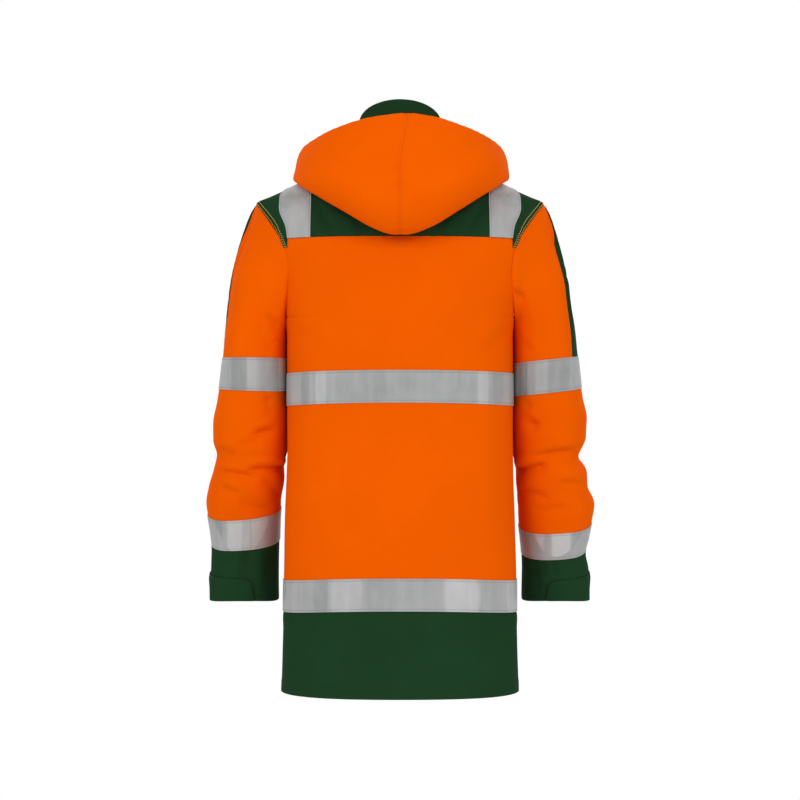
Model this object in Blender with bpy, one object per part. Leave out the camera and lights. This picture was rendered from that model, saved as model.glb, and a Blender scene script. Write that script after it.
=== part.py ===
"""Long hi-vis work parka, filled out as if worn: metres, +Z up, front towards -Y, wearer's left at +X.

The origin is at the base of the neck, on the centre line, where a wearer's neck and shoulders hold it.
"""

import math

import bmesh
import bpy
import numpy as np

COLLECTION = "hi_vis_parka"

# Cloth and seams
CLOTH = 0.002
TAPE = 0.001
SEAM_GAP = 0.0003
HALF_GAP = SEAM_GAP / 2
SEWN_ON = 0.0004
ON_TOP = SEAM_GAP + TAPE
STEP = 1e-4
TURN_STEP = 0.01

# Levels of the body, as heights above the base of the neck
HEM = -0.832
HEM_SEAM = -0.698
LOWER_TAPE = (HEM_SEAM + HALF_GAP, -0.673, -0.648)
CHEST_TAPE = (-0.380, -0.355, -0.330)
YOKE_SEAM = -0.125
ARMPIT = -0.245
SHOULDER_TIP = -0.060
NECK = 0.0135
NECK_WIDTH = 0.075
FRONT_NECK_DROP = 0.060
NECK_CURVE = 2.5
BACK_FULLNESS = 0.10
FULLNESS_FADE = 0.02

# Sections of the body: half width, depth behind and before the shoulder line, squareness of the section,
# and how far a level line sinks at the sides
BODY = {
    "level": (-0.832, -0.700, -0.650, -0.560, -0.450, -0.350, -0.280, -0.245, -0.200, -0.150, -0.125, -0.100,
              -0.060, -0.030, 0.0135, 0.0200),
    "width": (0.1870, 0.1838, 0.1830, 0.1815, 0.1782, 0.1780, 0.1785, 0.1815, 0.1920, 0.2090, 0.2165, 0.2230,
              0.2300, 0.1685, 0.0750, 0.0620),
    "back": (0.150, 0.147, 0.146, 0.143, 0.139, 0.141, 0.144, 0.145, 0.143, 0.139, 0.135, 0.127,
             0.107, 0.090, 0.068, 0.0647),
    "front": (0.150, 0.149, 0.148, 0.146, 0.143, 0.142, 0.140, 0.138, 0.134, 0.126, 0.121, 0.114,
              0.099, 0.083, 0.060, 0.0566),
    "power": (2.3, 2.3, 2.3, 2.3, 2.3, 2.3, 2.3, 2.3, 2.3, 2.3, 2.3, 2.3, 2.2, 2.1, 2.0, 2.0),
    "droop": (0.003, 0.012, 0.012, 0.010, 0.007, 0.005, 0.003, 0.0, 0.0, 0.0, 0.0, 0.0, 0.0, 0.0, 0.0,
              0.0),
}

# Edge of the armhole on front and back: distance from the centre line at each level
ARMHOLE = {
    "level": (-0.245, -0.238, -0.225, -0.205, -0.180, -0.150, -0.125, -0.100, -0.080, -0.068, -0.060),
    "reach": (0.1815, 0.1805, 0.1775, 0.1750, 0.1740, 0.1765, 0.1865, 0.2030, 0.2165, 0.2245, 0.2300),
}

# Zip and front edges
ZIP_WIDTH = 0.015
FRONT_EDGE = ZIP_WIDTH / 2 + SEAM_GAP

# Rings of each sleeve below the armpit, as distances below the base of the neck: outer and inner reach from
# the body's centre line, centre and half depth fore and aft, lean of the ring forwards and outwards
SLEEVE_LEFT = {
    "down": (0.300, 0.340, 0.376, 0.415, 0.440, 0.462, 0.485, 0.510, 0.535, 0.560, 0.585, 0.612, 0.640, 0.692),
    "outer": (0.284, 0.289, 0.296, 0.303, 0.303, 0.298, 0.303, 0.312, 0.317, 0.313, 0.309, 0.307, 0.308, 0.309),
    "inner": (0.1815, 0.1815, 0.1815, 0.1815, 0.182, 0.184, 0.186, 0.188, 0.191, 0.193, 0.195, 0.197, 0.198, 0.198),
    "centre": (-0.004, -0.008, -0.013, -0.018, -0.023, -0.028, -0.033, -0.038, -0.043, -0.048, -0.053, -0.058,
               -0.063, -0.072),
    "depth": (0.075, 0.074, 0.073, 0.072, 0.071, 0.069, 0.069, 0.068, 0.066, 0.062, 0.059, 0.057, 0.055, 0.053),
    "forward": (0.0, 0.02, 0.04, 0.06, 0.08, 0.10, 0.12, 0.14, 0.16, 0.18, 0.18, 0.18, 0.15, 0.10),
    "outward": (0.0, 0.03, 0.03, 0.02, 0.0, 0.0, -0.02, -0.04, -0.06, -0.08, -0.08, -0.06, -0.03, 0.0),
}
SLEEVE_RIGHT = {
    "down": (0.300, 0.340, 0.376, 0.410, 0.435, 0.466, 0.490, 0.515, 0.545, 0.570, 0.600, 0.626, 0.655, 0.692),
    "outer": (0.285, 0.289, 0.295, 0.303, 0.303, 0.291, 0.304, 0.306, 0.317, 0.314, 0.309, 0.303, 0.308, 0.308),
    "inner": (0.1815, 0.1815, 0.1815, 0.1815, 0.182, 0.184, 0.187, 0.189, 0.191, 0.193, 0.196, 0.198, 0.199, 0.199),
    "centre": (-0.004, -0.008, -0.013, -0.018, -0.023, -0.029, -0.034, -0.039, -0.045, -0.050, -0.056, -0.061,
               -0.066, -0.073),
    "depth": (0.075, 0.074, 0.073, 0.072, 0.071, 0.068, 0.069, 0.068, 0.067, 0.063, 0.059, 0.057, 0.055, 0.053),
    "forward": (0.0, 0.02, 0.04, 0.06, 0.08, 0.10, 0.13, 0.16, 0.18, 0.20, 0.20, 0.18, 0.15, 0.10),
    "outward": (0.10, 0.12, 0.10, 0.06, 0.02, 0.0, 0.0, 0.02, 0.04, 0.06, 0.07, 0.05, 0.03, 0.0),
}
SLEEVE_POWER = 2.35
SLEEVE_START = 0.10
SLEEVE_HANG = 0.300
CAP_REACH = (0.022, 0.015)
CAP_EASE = 0.46
CAP_LEAN = 0.05
FOLD_ANGLES = (math.radians(60), math.radians(170))
FOLD_MOST = math.radians(158)
SLEEVES = {
    "left": {"side": 1, "rings": SLEEVE_LEFT, "twist": math.radians(8),
             "upper_tape": (0.309, 0.334, 0.359), "lower_tape": (0.556, 0.581, 0.606), "tab": 0.655},
    "right": {"side": -1, "rings": SLEEVE_RIGHT, "twist": math.radians(32),
              "upper_tape": (0.312, 0.337, 0.362), "lower_tape": (0.577, 0.599, 0.621), "tab": 0.657},
}
CUFF_END = 0.692
CUFF_LAP = 0.0008
CUFF_STEP = math.radians(15)
TAB_STEPS = (-3, 7)
TAB_CORNER = (0.003, 0.017)
STRIPE_LEVEL = -0.108

# Shoulder tapes: inner and outer edge at the yoke seam and over the shoulder
SHOULDER_TAPE_INNER = (0.138, 0.138)
SHOULDER_TAPE_OUTER = (0.176, 0.188)

# Collar: half width, half depth and height of its top edge at the side, and how far the back stands above it
COLLAR_WIDTH = 0.066
COLLAR_DEPTH = 0.062
COLLAR_TOP = 0.0655
COLLAR_RISE = 0.030
COLLAR_SPREAD = 0.012
COLLAR_UPRIGHT = 0.042

# Hood hanging on the back: round the neck from front to centre back, the distance out from the neck's axis
# and the height of the fold it rests on, of its belly and of its brim
HOOD = {
    "angle": (-72, -50, -25, 0, 20, 40, 60, 75, 90),
    "fold_out": (0.079, 0.112, 0.144, 0.163, 0.176, 0.178, 0.176, 0.172, 0.170),
    "fold_up": (-0.036, -0.038, -0.033, -0.024, -0.034, -0.056, -0.086, -0.110, -0.126),
    "belly_out": (0.081, 0.117, 0.150, 0.167, 0.180, 0.193, 0.205, 0.208, 0.207),
    "belly_up": (-0.026, -0.022, -0.017, -0.006, -0.010, -0.020, -0.040, -0.052, -0.060),
    "brim_out": (0.077, 0.108, 0.140, 0.159, 0.169, 0.164, 0.161, 0.155, 0.152),
    "brim_up": (-0.012, -0.006, 0.002, 0.012, 0.023, 0.038, 0.050, 0.056, 0.060),
}
HOOD_ROOT = 0.006
HOOD_CLEAR = 0.0017
HOOD_REST = 0.010

# Zip slider and its pull tab, which hangs from the slider's arch on a bar
SLIDER_RISE = 0.72
SLIDER_WIDTH = 0.009
SLIDER_HEIGHT = 0.012
SLIDER_DEPTH = 0.0024
ARCH_WIDTH = 0.0022
ARCH_HEIGHT = 0.0046
ARCH_DEPTH = 0.0041
BAR_OUT = 0.002
EYE_RADIUS = 0.0012
PULL_WIDTH = 0.0062
PULL_LENGTH = 0.028
PULL_DEPTH = 0.0014
PULL_EYE_WIDTH = 0.0034
PULL_EYE_LENGTH = 0.0055

MATERIALS = {
    "orange_fabric": ((0.87, 0.13, 0.005), 0.75, 0.0),
    "green_fabric": ((0.014, 0.05, 0.02), 0.75, 0.0),
    "reflective_tape": ((0.36, 0.37, 0.37), 0.40, 0.0),
    "zip_plastic": ((0.02, 0.03, 0.02), 0.45, 0.0),
    "zip_metal": ((0.55, 0.55, 0.54), 0.35, 1.0),
}


def column(table, name, at, key):
    """One column of a table at any value of its key column, on a smooth curve that never overshoots."""
    keys = table[key]
    values = table[name]
    at = min(max(at, keys[0]), keys[-1])
    last = len(keys) - 2
    i = min(max(int(np.searchsorted(keys, at)) - 1, 0), last)
    slopes = [(values[k + 1] - values[k]) / (keys[k + 1] - keys[k]) for k in range(len(keys) - 1)]

    def tangent(k):
        if k in (0, len(keys) - 1):
            return slopes[min(k, last)]
        before, after = slopes[k - 1], slopes[k]
        return 0.0 if before * after <= 0 else 2 * before * after / (before + after)

    span = keys[i + 1] - keys[i]
    t = (at - keys[i]) / span
    ends = (2 * t**3 - 3 * t**2 + 1) * values[i] + (3 * t**2 - 2 * t**3) * values[i + 1]
    return ends + span * ((t**3 - 2 * t**2 + t) * tangent(i) + (t**3 - t**2) * tangent(i + 1))


def signed_power(value, power):
    return math.copysign(abs(value) ** power, value)


def smooth_step(low, high, value):
    t = min(max((value - low) / (high - low), 0.0), 1.0)
    return t * t * (3 - 2 * t)


def unit(vector):
    return vector / np.linalg.norm(vector)


def body_width(level):
    """Half width of the body: straight down the shoulder slope, and a smooth curve below it."""
    if level > SHOULDER_TIP:
        tip = BODY["width"][BODY["level"].index(SHOULDER_TIP)]
        return tip + (NECK_WIDTH - tip) * (level - SHOULDER_TIP) / (NECK - SHOULDER_TIP)
    return column(BODY, "width", level, "level")


def fullness(angle, level):
    """Below the armpit the back is a little wider than the front."""
    return 1 + BACK_FULLNESS * math.sin(angle) * (1 - smooth_step(ARMPIT - FULLNESS_FADE, YOKE_SEAM, level))


def body_point(angle, level):
    """A point of the body's outer face: angle 0 at the wearer's left side, a quarter turn at centre back."""
    power = 2 / column(BODY, "power", level, "level")
    depth = column(BODY, "back" if math.sin(angle) > 0 else "front", level, "level")
    x = body_width(level) * fullness(angle, level) * signed_power(math.cos(angle), power)
    y = depth * signed_power(math.sin(angle), power)
    turned = (1 - math.sin(angle)) / 2
    sunk = FRONT_NECK_DROP * turned**NECK_CURVE * smooth_step(YOKE_SEAM, NECK, level)
    sunk += column(BODY, "droop", level, "level") * math.cos(angle) ** 2
    return np.array((x, y, level - sunk))


def body_angle(x, level, front=False):
    """The angle of the body point that lies x from the centre line, behind or in front."""
    power = column(BODY, "power", level, "level") / 2
    angle = 0.0
    for _ in range(6):
        width = body_width(level) * fullness(angle, level)
        angle = math.acos(min(max(signed_power(x / width, power), -1.0), 1.0)) * (-1 if front else 1)
    return angle


def armhole_angle(level):
    """Angle from the side to the armhole's edge at a level; nothing below the armpit and above the tip."""
    if not ARMPIT < level < SHOULDER_TIP:
        return 0.0
    return body_angle(column(ARMHOLE, "reach", level, "level"), level)


def normal(surface, u, v):
    """The outward direction of a surface whose u, v and outward directions are right-handed."""
    along = surface(u + TURN_STEP, v) - surface(u - TURN_STEP, v)
    up = surface(u, v + STEP) - surface(u, v - STEP)
    return unit(np.cross(along, up))


def cloth_grid(surface, rows, lift=0.0, thickness=CLOTH, flip=False):
    """Outer and inner points of a wall, for rows of (u, v) places on a surface."""
    grid = []
    for row in rows:
        line = []
        for u, v in row:
            away = normal(surface, u, v) * (-1 if flip else 1)
            point = surface(u, v)
            line.append((point + away * lift, point + away * (lift - thickness)))
        grid.append(line)
    return grid


def moved(grid, by):
    return [[(outer + by, inner + by) for outer, inner in row] for row in grid]


def mirrored(grids):
    flip = np.array((-1.0, 1.0, 1.0))
    return [[[(outer * flip, inner * flip) for outer, inner in row] for row in grid] for grid in grids]


def make_material(name):
    colour, roughness, metallic = MATERIALS[name]
    material = bpy.data.materials.get(name) or bpy.data.materials.new(name)
    material.use_nodes = True
    shader = material.node_tree.nodes["Principled BSDF"]
    shader.inputs["Base Color"].default_value = (*colour, 1.0)
    shader.inputs["Roughness"].default_value = roughness
    shader.inputs["Metallic"].default_value = metallic
    return material


def add_object(name, mesh, material):
    item = bpy.data.objects.new(name, mesh)
    item.data.materials.append(make_material(material))
    bpy.data.collections[COLLECTION].objects.link(item)
    return item


def add_wall(name, grids, material, closed=False):
    """A closed cloth wall from grids of outer and inner points; grids that share points are one cloth.

    Faces and rims are split the same way on every piece, so that facing pieces keep their gap.
    """
    work = bmesh.new()
    made = {}

    def vertex(point):
        key = tuple(round(float(value), 6) for value in point)
        if key not in made:
            made[key] = work.verts.new(point)
        return made[key]

    partner = {}

    def add_triangle(points):
        corners = []
        for outer, inner in points:
            out = vertex(outer)
            partner[out] = vertex(inner)
            corners.append(out)
        if len(set(corners)) == 3:
            work.faces.new(corners)

    for grid in grids:
        for row, above in zip(grid, grid[1:]):
            for k in range(len(row) if closed else len(row) - 1):
                after = (k + 1) % len(row)
                add_triangle((row[k], row[after], above[after]))
                add_triangle((row[k], above[after], above[k]))
    outside = list(work.faces)
    rims = [(edge.link_loops[0].vert, edge.link_loops[0].link_loop_next.vert)
            for edge in work.edges if edge.is_boundary]
    for face in outside:
        work.faces.new([partner[corner] for corner in reversed(face.verts)])
    for start, end in rims:
        if (start.co.z, start.co.y) < (end.co.z, end.co.y):
            work.faces.new((end, start, partner[end]))
            work.faces.new((start, partner[start], partner[end]))
        else:
            work.faces.new((end, start, partner[start]))
            work.faces.new((end, partner[start], partner[end]))
    bmesh.ops.recalc_face_normals(work, faces=work.faces)
    mesh = bpy.data.meshes.new(name)
    work.to_mesh(mesh)
    work.free()
    mesh.shade_smooth()
    mesh.set_sharp_from_angle(angle=math.radians(40))
    return add_object(name, mesh, material)


def spread(low, high, count):
    return [low + (high - low) * k / count for k in range(count + 1)]


# Rows and columns shared by pieces that meet
ARMHOLE_LEVELS = (ARMPIT, -0.238, -0.225, -0.205, -0.180, -0.150)
YOKE_LEVELS = (-0.108, -0.090, -0.075, -0.065)
PANEL_LEVELS = (*LOWER_TAPE, -0.604, -0.560, -0.510, -0.460, -0.418, *CHEST_TAPE, -0.295, -0.268,
                *ARMHOLE_LEVELS, YOKE_SEAM - HALF_GAP)
HEM_LEVELS = (HEM, -0.788, -0.743, HEM_SEAM - HALF_GAP)
HALF_COLUMNS = 8


def back_row(level):
    """From the side or armhole round to centre back."""
    return [(angle, level) for angle in spread(armhole_angle(level), math.pi / 2, HALF_COLUMNS)]


def front_row(level, edge=FRONT_EDGE):
    """From the front edge round to the side or armhole."""
    start = body_angle(edge, level, front=True)
    return [(angle, level) for angle in spread(start, -armhole_angle(level), HALF_COLUMNS)]


def add_body_panels():
    """Back and fronts below the yoke, and the green hem band below them."""
    back = [moved(cloth_grid(body_point, [back_row(level) for level in PANEL_LEVELS]), (0, HALF_GAP, 0))]
    front = [moved(cloth_grid(body_point, [front_row(level) for level in PANEL_LEVELS]), (0, -HALF_GAP, 0))]
    add_wall("back", back + mirrored(back), "orange_fabric")
    add_wall("front_left", front, "orange_fabric")
    add_wall("front_right", mirrored(front), "orange_fabric")
    hem = [cloth_grid(body_point, [front_row(level) + back_row(level)[1:] for level in HEM_LEVELS])]
    add_wall("hem_band", hem + mirrored(hem), "green_fabric")


def add_body_tapes():
    """Two reflective tapes round the body, from front edge to front edge."""
    for name, levels in (("chest_tape", CHEST_TAPE), ("lower_tape", LOWER_TAPE)):
        rows = [front_row(level) + back_row(level)[1:] for level in levels]
        half = [cloth_grid(body_point, rows, lift=ON_TOP, thickness=TAPE)]
        add_wall(name, half + mirrored(half), "reflective_tape")


# Lines of the yoke from its bottom seam up to the neck or the shoulder: distance from the centre line
YOKE_LINES = {
    "seam": (0.0, 0.022, 0.042, 0.060, 0.076, 0.092, 0.107, 0.122, SHOULDER_TAPE_INNER[0], 0.158,
             SHOULDER_TAPE_OUTER[0]),
    "top": (0.0, 0.0194, 0.0375, 0.0530, 0.0650, 0.0724, NECK_WIDTH, 0.107, SHOULDER_TAPE_INNER[1], 0.164,
            SHOULDER_TAPE_OUTER[1]),
}
TAPE_LINES = slice(8, 11)
NECK_LINES = 7
YOKE_ROWS = 5


def ridge_level(x):
    """The level at which the shoulder line is x from the centre line."""
    tip = body_width(SHOULDER_TIP)
    return min(SHOULDER_TIP + (tip - x) / (tip - NECK_WIDTH) * (NECK - SHOULDER_TIP), NECK)


def yoke_line(seam, top, front):
    """A line of the yoke from its bottom seam to the neck hole or the shoulder line."""
    low = YOKE_SEAM + HALF_GAP
    high = ridge_level(top)
    line = []
    for k in range(YOKE_ROWS + 1):
        rise = 1 - (1 - k / YOKE_ROWS) ** 2
        level = low + (high - low) * rise
        angle = body_angle(seam + (top - seam) * rise, level, front)
        line.append((0.0 if k == YOKE_ROWS and top >= NECK_WIDTH else angle, level))
    return line


def armhole_line(front):
    levels = (YOKE_SEAM + HALF_GAP, *YOKE_LEVELS, SHOULDER_TIP)
    turn = -1 if front else 1
    return [(turn * armhole_angle(level), level) for level in levels]


def yoke_half(front):
    """One side of the yoke, behind or before the shoulder line, as lines from the centre out to the armhole."""
    lines = [yoke_line(seam, top, front) for seam, top in zip(YOKE_LINES["seam"], YOKE_LINES["top"])]
    if front:
        lines[0] = yoke_line(FRONT_EDGE, FRONT_EDGE, front)
    return [*lines, armhole_line(front)]


def add_yoke():
    """The green yoke: one saddle over both shoulders, open at the neck and down the front."""
    back = cloth_grid(body_point, yoke_half(front=False))
    front = cloth_grid(body_point, yoke_half(front=True))
    add_wall("yoke", [back, front, *mirrored([back, front])], "green_fabric")


def add_shoulder_tapes():
    """A reflective tape over each shoulder, from the back seam of the yoke to its front seam."""
    back = cloth_grid(body_point, yoke_half(front=False)[TAPE_LINES], lift=ON_TOP, thickness=TAPE)
    front = cloth_grid(body_point, yoke_half(front=True)[TAPE_LINES], lift=ON_TOP, thickness=TAPE)
    add_wall("shoulder_tape_left", [back, front], "reflective_tape")
    add_wall("shoulder_tape_right", mirrored([back, front]), "reflective_tape")


ARMHOLE_MIDDLE = (SHOULDER_TIP + ARMPIT) / 2
ARMHOLE_HALF = (SHOULDER_TIP - ARMPIT) / 2


def armhole_turn(level):
    """The angle round the armhole, from the shoulder tip, at which its edge has this level."""
    return math.acos(min(max((level - ARMHOLE_MIDDLE) / ARMHOLE_HALF, -1.0), 1.0))


def armhole_place(turn):
    """The body angle and level of the armhole's edge at an angle round it; the back is positive."""
    level = ARMHOLE_MIDDLE + ARMHOLE_HALF * math.cos(turn)
    return math.copysign(armhole_angle(level), math.sin(turn)), level


def armhole_edge(turn):
    """The armhole's edge, the cloth's outward direction there, and the direction across the edge."""
    point = body_point(*armhole_place(turn))
    along = unit(body_point(*armhole_place(turn + STEP)) - body_point(*armhole_place(turn - STEP)))
    out = normal(body_point, *armhole_place(turn))
    out = unit(out - along * np.dot(out, along))
    return point, out, np.cross(along, out)


def ring_point(rings, angle, down):
    """A point of a sleeve below the armpit, for the wearer's left arm."""
    outer = column(rings, "outer", down, "down")
    inner = column(rings, "inner", down, "down")
    x = (outer - inner) / 2 * signed_power(math.cos(angle), 2 / SLEEVE_POWER)
    y = column(rings, "depth", down, "down") * signed_power(math.sin(angle), 2 / SLEEVE_POWER)
    z = -down - column(rings, "forward", down, "down") * y + column(rings, "outward", down, "down") * x
    return np.array(((outer + inner) / 2 + x, column(rings, "centre", down, "down") + y, z))


def sleeve_surface(rings, twist):
    """The outer face of a sleeve: sewn round the armhole, folded down at the armpit and hanging in rings."""

    def surface(turn, down):
        if down >= SLEEVE_HANG:
            return ring_point(rings, turn + twist, down)
        point, out, across = armhole_edge(turn)
        wrapped = abs(math.remainder(turn, 2 * math.pi))
        fold = FOLD_MOST * smooth_step(*FOLD_ANGLES, wrapped)
        hang = ring_point(rings, turn + twist, SLEEVE_HANG)
        under = wrapped / math.pi
        start = point + SEWN_ON * (across * math.cos(fold / 2) + out * math.sin(fold / 2))
        reach = CAP_REACH[0] + (CAP_REACH[1] - CAP_REACH[0]) * under
        leave = start + reach * (across * math.cos(fold) + out * math.sin(fold))
        rise = CAP_EASE * (start[2] - hang[2])
        arrive = hang + rise * np.array((-CAP_LEAN * max(math.cos(turn), 0.0), 0.0, 1.0))
        t = max((down - SLEEVE_START) / (SLEEVE_HANG - SLEEVE_START), -STEP)
        return ((1 - t) ** 3 * start + 3 * (1 - t) ** 2 * t * leave + 3 * (1 - t) * t**2 * arrive + t**3 * hang)

    return surface


SLEEVE_TURNS = [armhole_turn(level) for level in (SHOULDER_TIP, *reversed(YOKE_LEVELS), YOKE_SEAM,
                                                  *reversed(ARMHOLE_LEVELS))]
RING_TURNS = SLEEVE_TURNS + [2 * math.pi - turn for turn in reversed(SLEEVE_TURNS[1:-1])]
CAP_ROWS = (0.100, 0.112, 0.130, 0.155, 0.185, 0.215, 0.245, 0.275)
STRIPE_TURN = 2 * math.pi - armhole_turn(STRIPE_LEVEL)


def between(turns, low, high):
    """The columns from low to high, with both ends."""
    margin = 0.01
    return [low, *[turn for turn in turns if low + margin < turn < high - margin], high]


def held_back(grid):
    """A grid whose first and last columns stand back from the seam by half its gap."""

    def step(point, towards):
        return point + HALF_GAP * unit(towards - point)

    rows = []
    for row in grid:
        first = tuple(step(point, towards) for point, towards in zip(row[0], row[1]))
        last = tuple(step(point, towards) for point, towards in zip(row[-1], row[-2]))
        rows.append([first, *row[1:-1], last])
    return rows


def rows_of(turns, downs):
    return [[(turn, down) for turn in turns] for down in downs]


def add_sleeve(side_name):
    """One sleeve: upper part with its green stripe, lower part, cuff with its tab, and two tapes."""
    sleeve = SLEEVES[side_name]
    rings = sleeve["rings"]
    twist = sleeve["twist"]
    surface = sleeve_surface(rings, twist)
    top, seam, bottom = sleeve["upper_tape"]
    cuff_seam = sleeve["lower_tape"][-1] + CUFF_LAP
    upper_rows = (*CAP_ROWS, top, seam - HALF_GAP)
    middle = [down for down in rings["down"] if bottom + 0.01 < down < sleeve["lower_tape"][0] - 0.01]
    lower_rows = (seam + HALF_GAP, bottom, *middle, *sleeve["lower_tape"][:-1], cuff_seam - HALF_GAP)

    def piece(name, turns, downs, material, closed=False, lift=0.0, thickness=CLOTH):
        grid = cloth_grid(surface, rows_of(turns, downs), lift, thickness, flip=True)
        grid = grid if closed else held_back(grid)
        grids = [grid] if sleeve["side"] > 0 else mirrored([grid])
        add_wall(f"{name}_{side_name}", grids, material, closed)

    piece("sleeve_upper", between(RING_TURNS, 0.0, STRIPE_TURN), upper_rows, "orange_fabric")
    piece("sleeve_stripe", between(RING_TURNS, STRIPE_TURN, 2 * math.pi), upper_rows, "green_fabric")
    piece("sleeve_lower", RING_TURNS, lower_rows, "orange_fabric", closed=True)
    for name in ("upper_tape", "lower_tape"):
        piece(f"sleeve_{name}", RING_TURNS, sleeve[name], "reflective_tape", True, ON_TOP, TAPE)

    steps = round(2 * math.pi / CUFF_STEP)
    cuff_turns = [k * CUFF_STEP - twist for k in range(steps)]
    tab = sleeve["tab"]
    cuff_rows = (cuff_seam + HALF_GAP, (cuff_seam + tab) / 2, tab, (tab + CUFF_END) / 2, CUFF_END)
    piece("cuff", cuff_turns, cuff_rows, "green_fabric", closed=True)
    low, high = TAB_STEPS
    corner = dict(zip((high - 1, high), TAB_CORNER))
    tops = [(k * CUFF_STEP - twist, tab + corner.get(k, 0.0)) for k in range(low, high + 1)]
    rows = [[(turn, start + (CUFF_END - start) * part) for turn, start in tops] for part in (0, 0.5, 1)]
    grid = cloth_grid(surface, rows, SEAM_GAP + CLOTH, CLOTH, flip=True)
    add_wall(f"cuff_tab_{side_name}", [grid] if sleeve["side"] > 0 else mirrored([grid]), "green_fabric")


def neck_edge(angle):
    """The edge of the neck hole, the cloth's outward direction there, and the direction across the edge."""
    point = body_point(angle, NECK)
    along = unit(body_point(angle + STEP, NECK) - body_point(angle - STEP, NECK))
    out = normal(body_point, angle, NECK - STEP)
    out = unit(out - along * np.dot(out, along))
    return point, out, np.cross(out, along)


def collar_point(angle, rise):
    """A point of the collar's outer face, from the neck seam at rise 0 to its top edge at rise 1."""
    point, _, across = neck_edge(angle)
    start = point + SEWN_ON * across
    leave = start + COLLAR_SPREAD * across
    top = np.array((COLLAR_WIDTH * math.cos(angle), COLLAR_DEPTH * math.sin(angle),
                    COLLAR_TOP + COLLAR_RISE * math.sin(angle)))
    arrive = top - np.array((0.0, 0.0, COLLAR_UPRIGHT))
    t = rise
    return (1 - t) ** 3 * start + 3 * (1 - t) ** 2 * t * leave + 3 * (1 - t) * t**2 * arrive + t**3 * top


COLLAR_ROWS = (0.0, 0.2, 0.4, 0.6, 0.8, 1.0)


def add_collar():
    tops = YOKE_LINES["top"][:NECK_LINES]
    angles = [body_angle(x, NECK, front=True) for x in (FRONT_EDGE, *tops[1:-1])] + [0.0]
    angles += [body_angle(x, NECK) for x in reversed(tops[:-1])]
    half = [cloth_grid(collar_point, [[(angle, rise) for angle in angles] for rise in COLLAR_ROWS])]
    add_wall("collar", half + mirrored(half), "green_fabric")


def body_height(x, y):
    """The level of the body's outer face straight under a point near the shoulders."""
    low, high = ARMPIT, NECK
    for _ in range(40):
        level = (low + high) / 2
        power = column(BODY, "power", level, "level")
        depth = column(BODY, "back" if y > 0 else "front", level, "level")
        inside = abs(x / body_width(level)) ** power + abs(y / depth) ** power < 1
        low, high = (level, high) if inside else (low, level)
    angle = math.atan2(y, abs(x))
    turned = (1 - math.sin(angle)) / 2
    return low - FRONT_NECK_DROP * turned**NECK_CURVE * smooth_step(YOKE_SEAM, NECK, low)


def hood_point(angle, along):
    """A point of the hood's outer face: from the neck seam down over the yoke, round the fold, up to the brim."""
    degrees = 90 - abs(90 - math.degrees(angle))
    away = np.array((math.cos(angle), math.sin(angle), 0.0))
    root = body_point(angle, NECK - HOOD_ROOT) + HOOD_CLEAR * normal(body_point, angle, NECK - HOOD_ROOT)

    def place(name):
        out = column(HOOD, name + "_out", degrees, "angle")
        return away * out + np.array((0.0, 0.0, column(HOOD, name + "_up", degrees, "angle")))

    fold = place("fold")
    resting = (root + fold) / 2
    resting[2] = body_height(resting[0], resting[1]) + HOOD_REST
    points = [root, resting, fold, place("belly"), place("brim")]
    stop = len(points) - 1
    i = min(max(int(along * stop), 0), stop - 1)
    t = along * stop - i
    before = points[i - 1] if i > 0 else 2 * points[0] - points[1]
    after = points[i + 2] if i + 2 <= stop else 2 * points[stop] - points[stop - 1]
    here, there = points[i], points[i + 1]
    return 0.5 * (2 * here + (there - before) * t + (2 * before - 5 * here + 4 * there - after) * t**2
                  + (3 * here - before - 3 * there + after) * t**3)


HOOD_COLUMNS = 16
HOOD_ROWS = 12


def add_hood():
    """The hood in two halves, sewn together down the middle."""
    angles = spread(math.radians(HOOD["angle"][0]), math.pi / 2, HOOD_COLUMNS)
    rows = [[(angle, along) for angle in angles] for along in spread(0.0, 1.0, HOOD_ROWS)]
    half = [moved(cloth_grid(hood_point, rows), (HALF_GAP, 0, 0))]
    add_wall("hood_left", half, "orange_fabric")
    add_wall("hood_right", mirrored(half), "orange_fabric")


def add_zip_band():
    """The closed zip: a band between the front edges, from the hem to the top of the collar."""
    levels = (HEM, *HEM_LEVELS[1:-1], *PANEL_LEVELS[:-1], YOKE_SEAM, -0.09, -0.06, -0.03, -0.01, NECK)
    rows = []
    for level in levels:
        edge = body_angle(ZIP_WIDTH / 2, level, front=True)
        rows.append([(edge, level), (-math.pi / 2, level)])
    half = cloth_grid(body_point, rows)
    edge = body_angle(ZIP_WIDTH / 2, NECK, front=True)
    half += cloth_grid(collar_point, [[(edge, rise), (-math.pi / 2, rise)] for rise in COLLAR_ROWS])
    add_wall("zip_band", [half, *mirrored([half])], "zip_plastic")


def add_box(name, size, centre, material):
    """A box of a given size about a centre, left as a plain mesh object."""
    bpy.ops.mesh.primitive_cube_add(size=1, location=centre)
    item = bpy.context.active_object
    item.name = name
    item.scale = size
    bpy.ops.object.transform_apply(location=False, rotation=False, scale=True)
    item.data.materials.append(make_material(material))
    for collection in list(item.users_collection):
        collection.objects.unlink(item)
    bpy.data.collections[COLLECTION].objects.link(item)
    return item


def add_cutter(item):
    bpy.data.collections[COLLECTION].objects.unlink(item)
    bpy.data.collections["cutters"].objects.link(item)
    item.hide_render = True
    item.display_type = "WIRE"
    return item


def cut(item, cutter, operation="DIFFERENCE"):
    modifier = item.modifiers.new(cutter.name, "BOOLEAN")
    modifier.operation = operation
    modifier.object = add_cutter(cutter)


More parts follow.
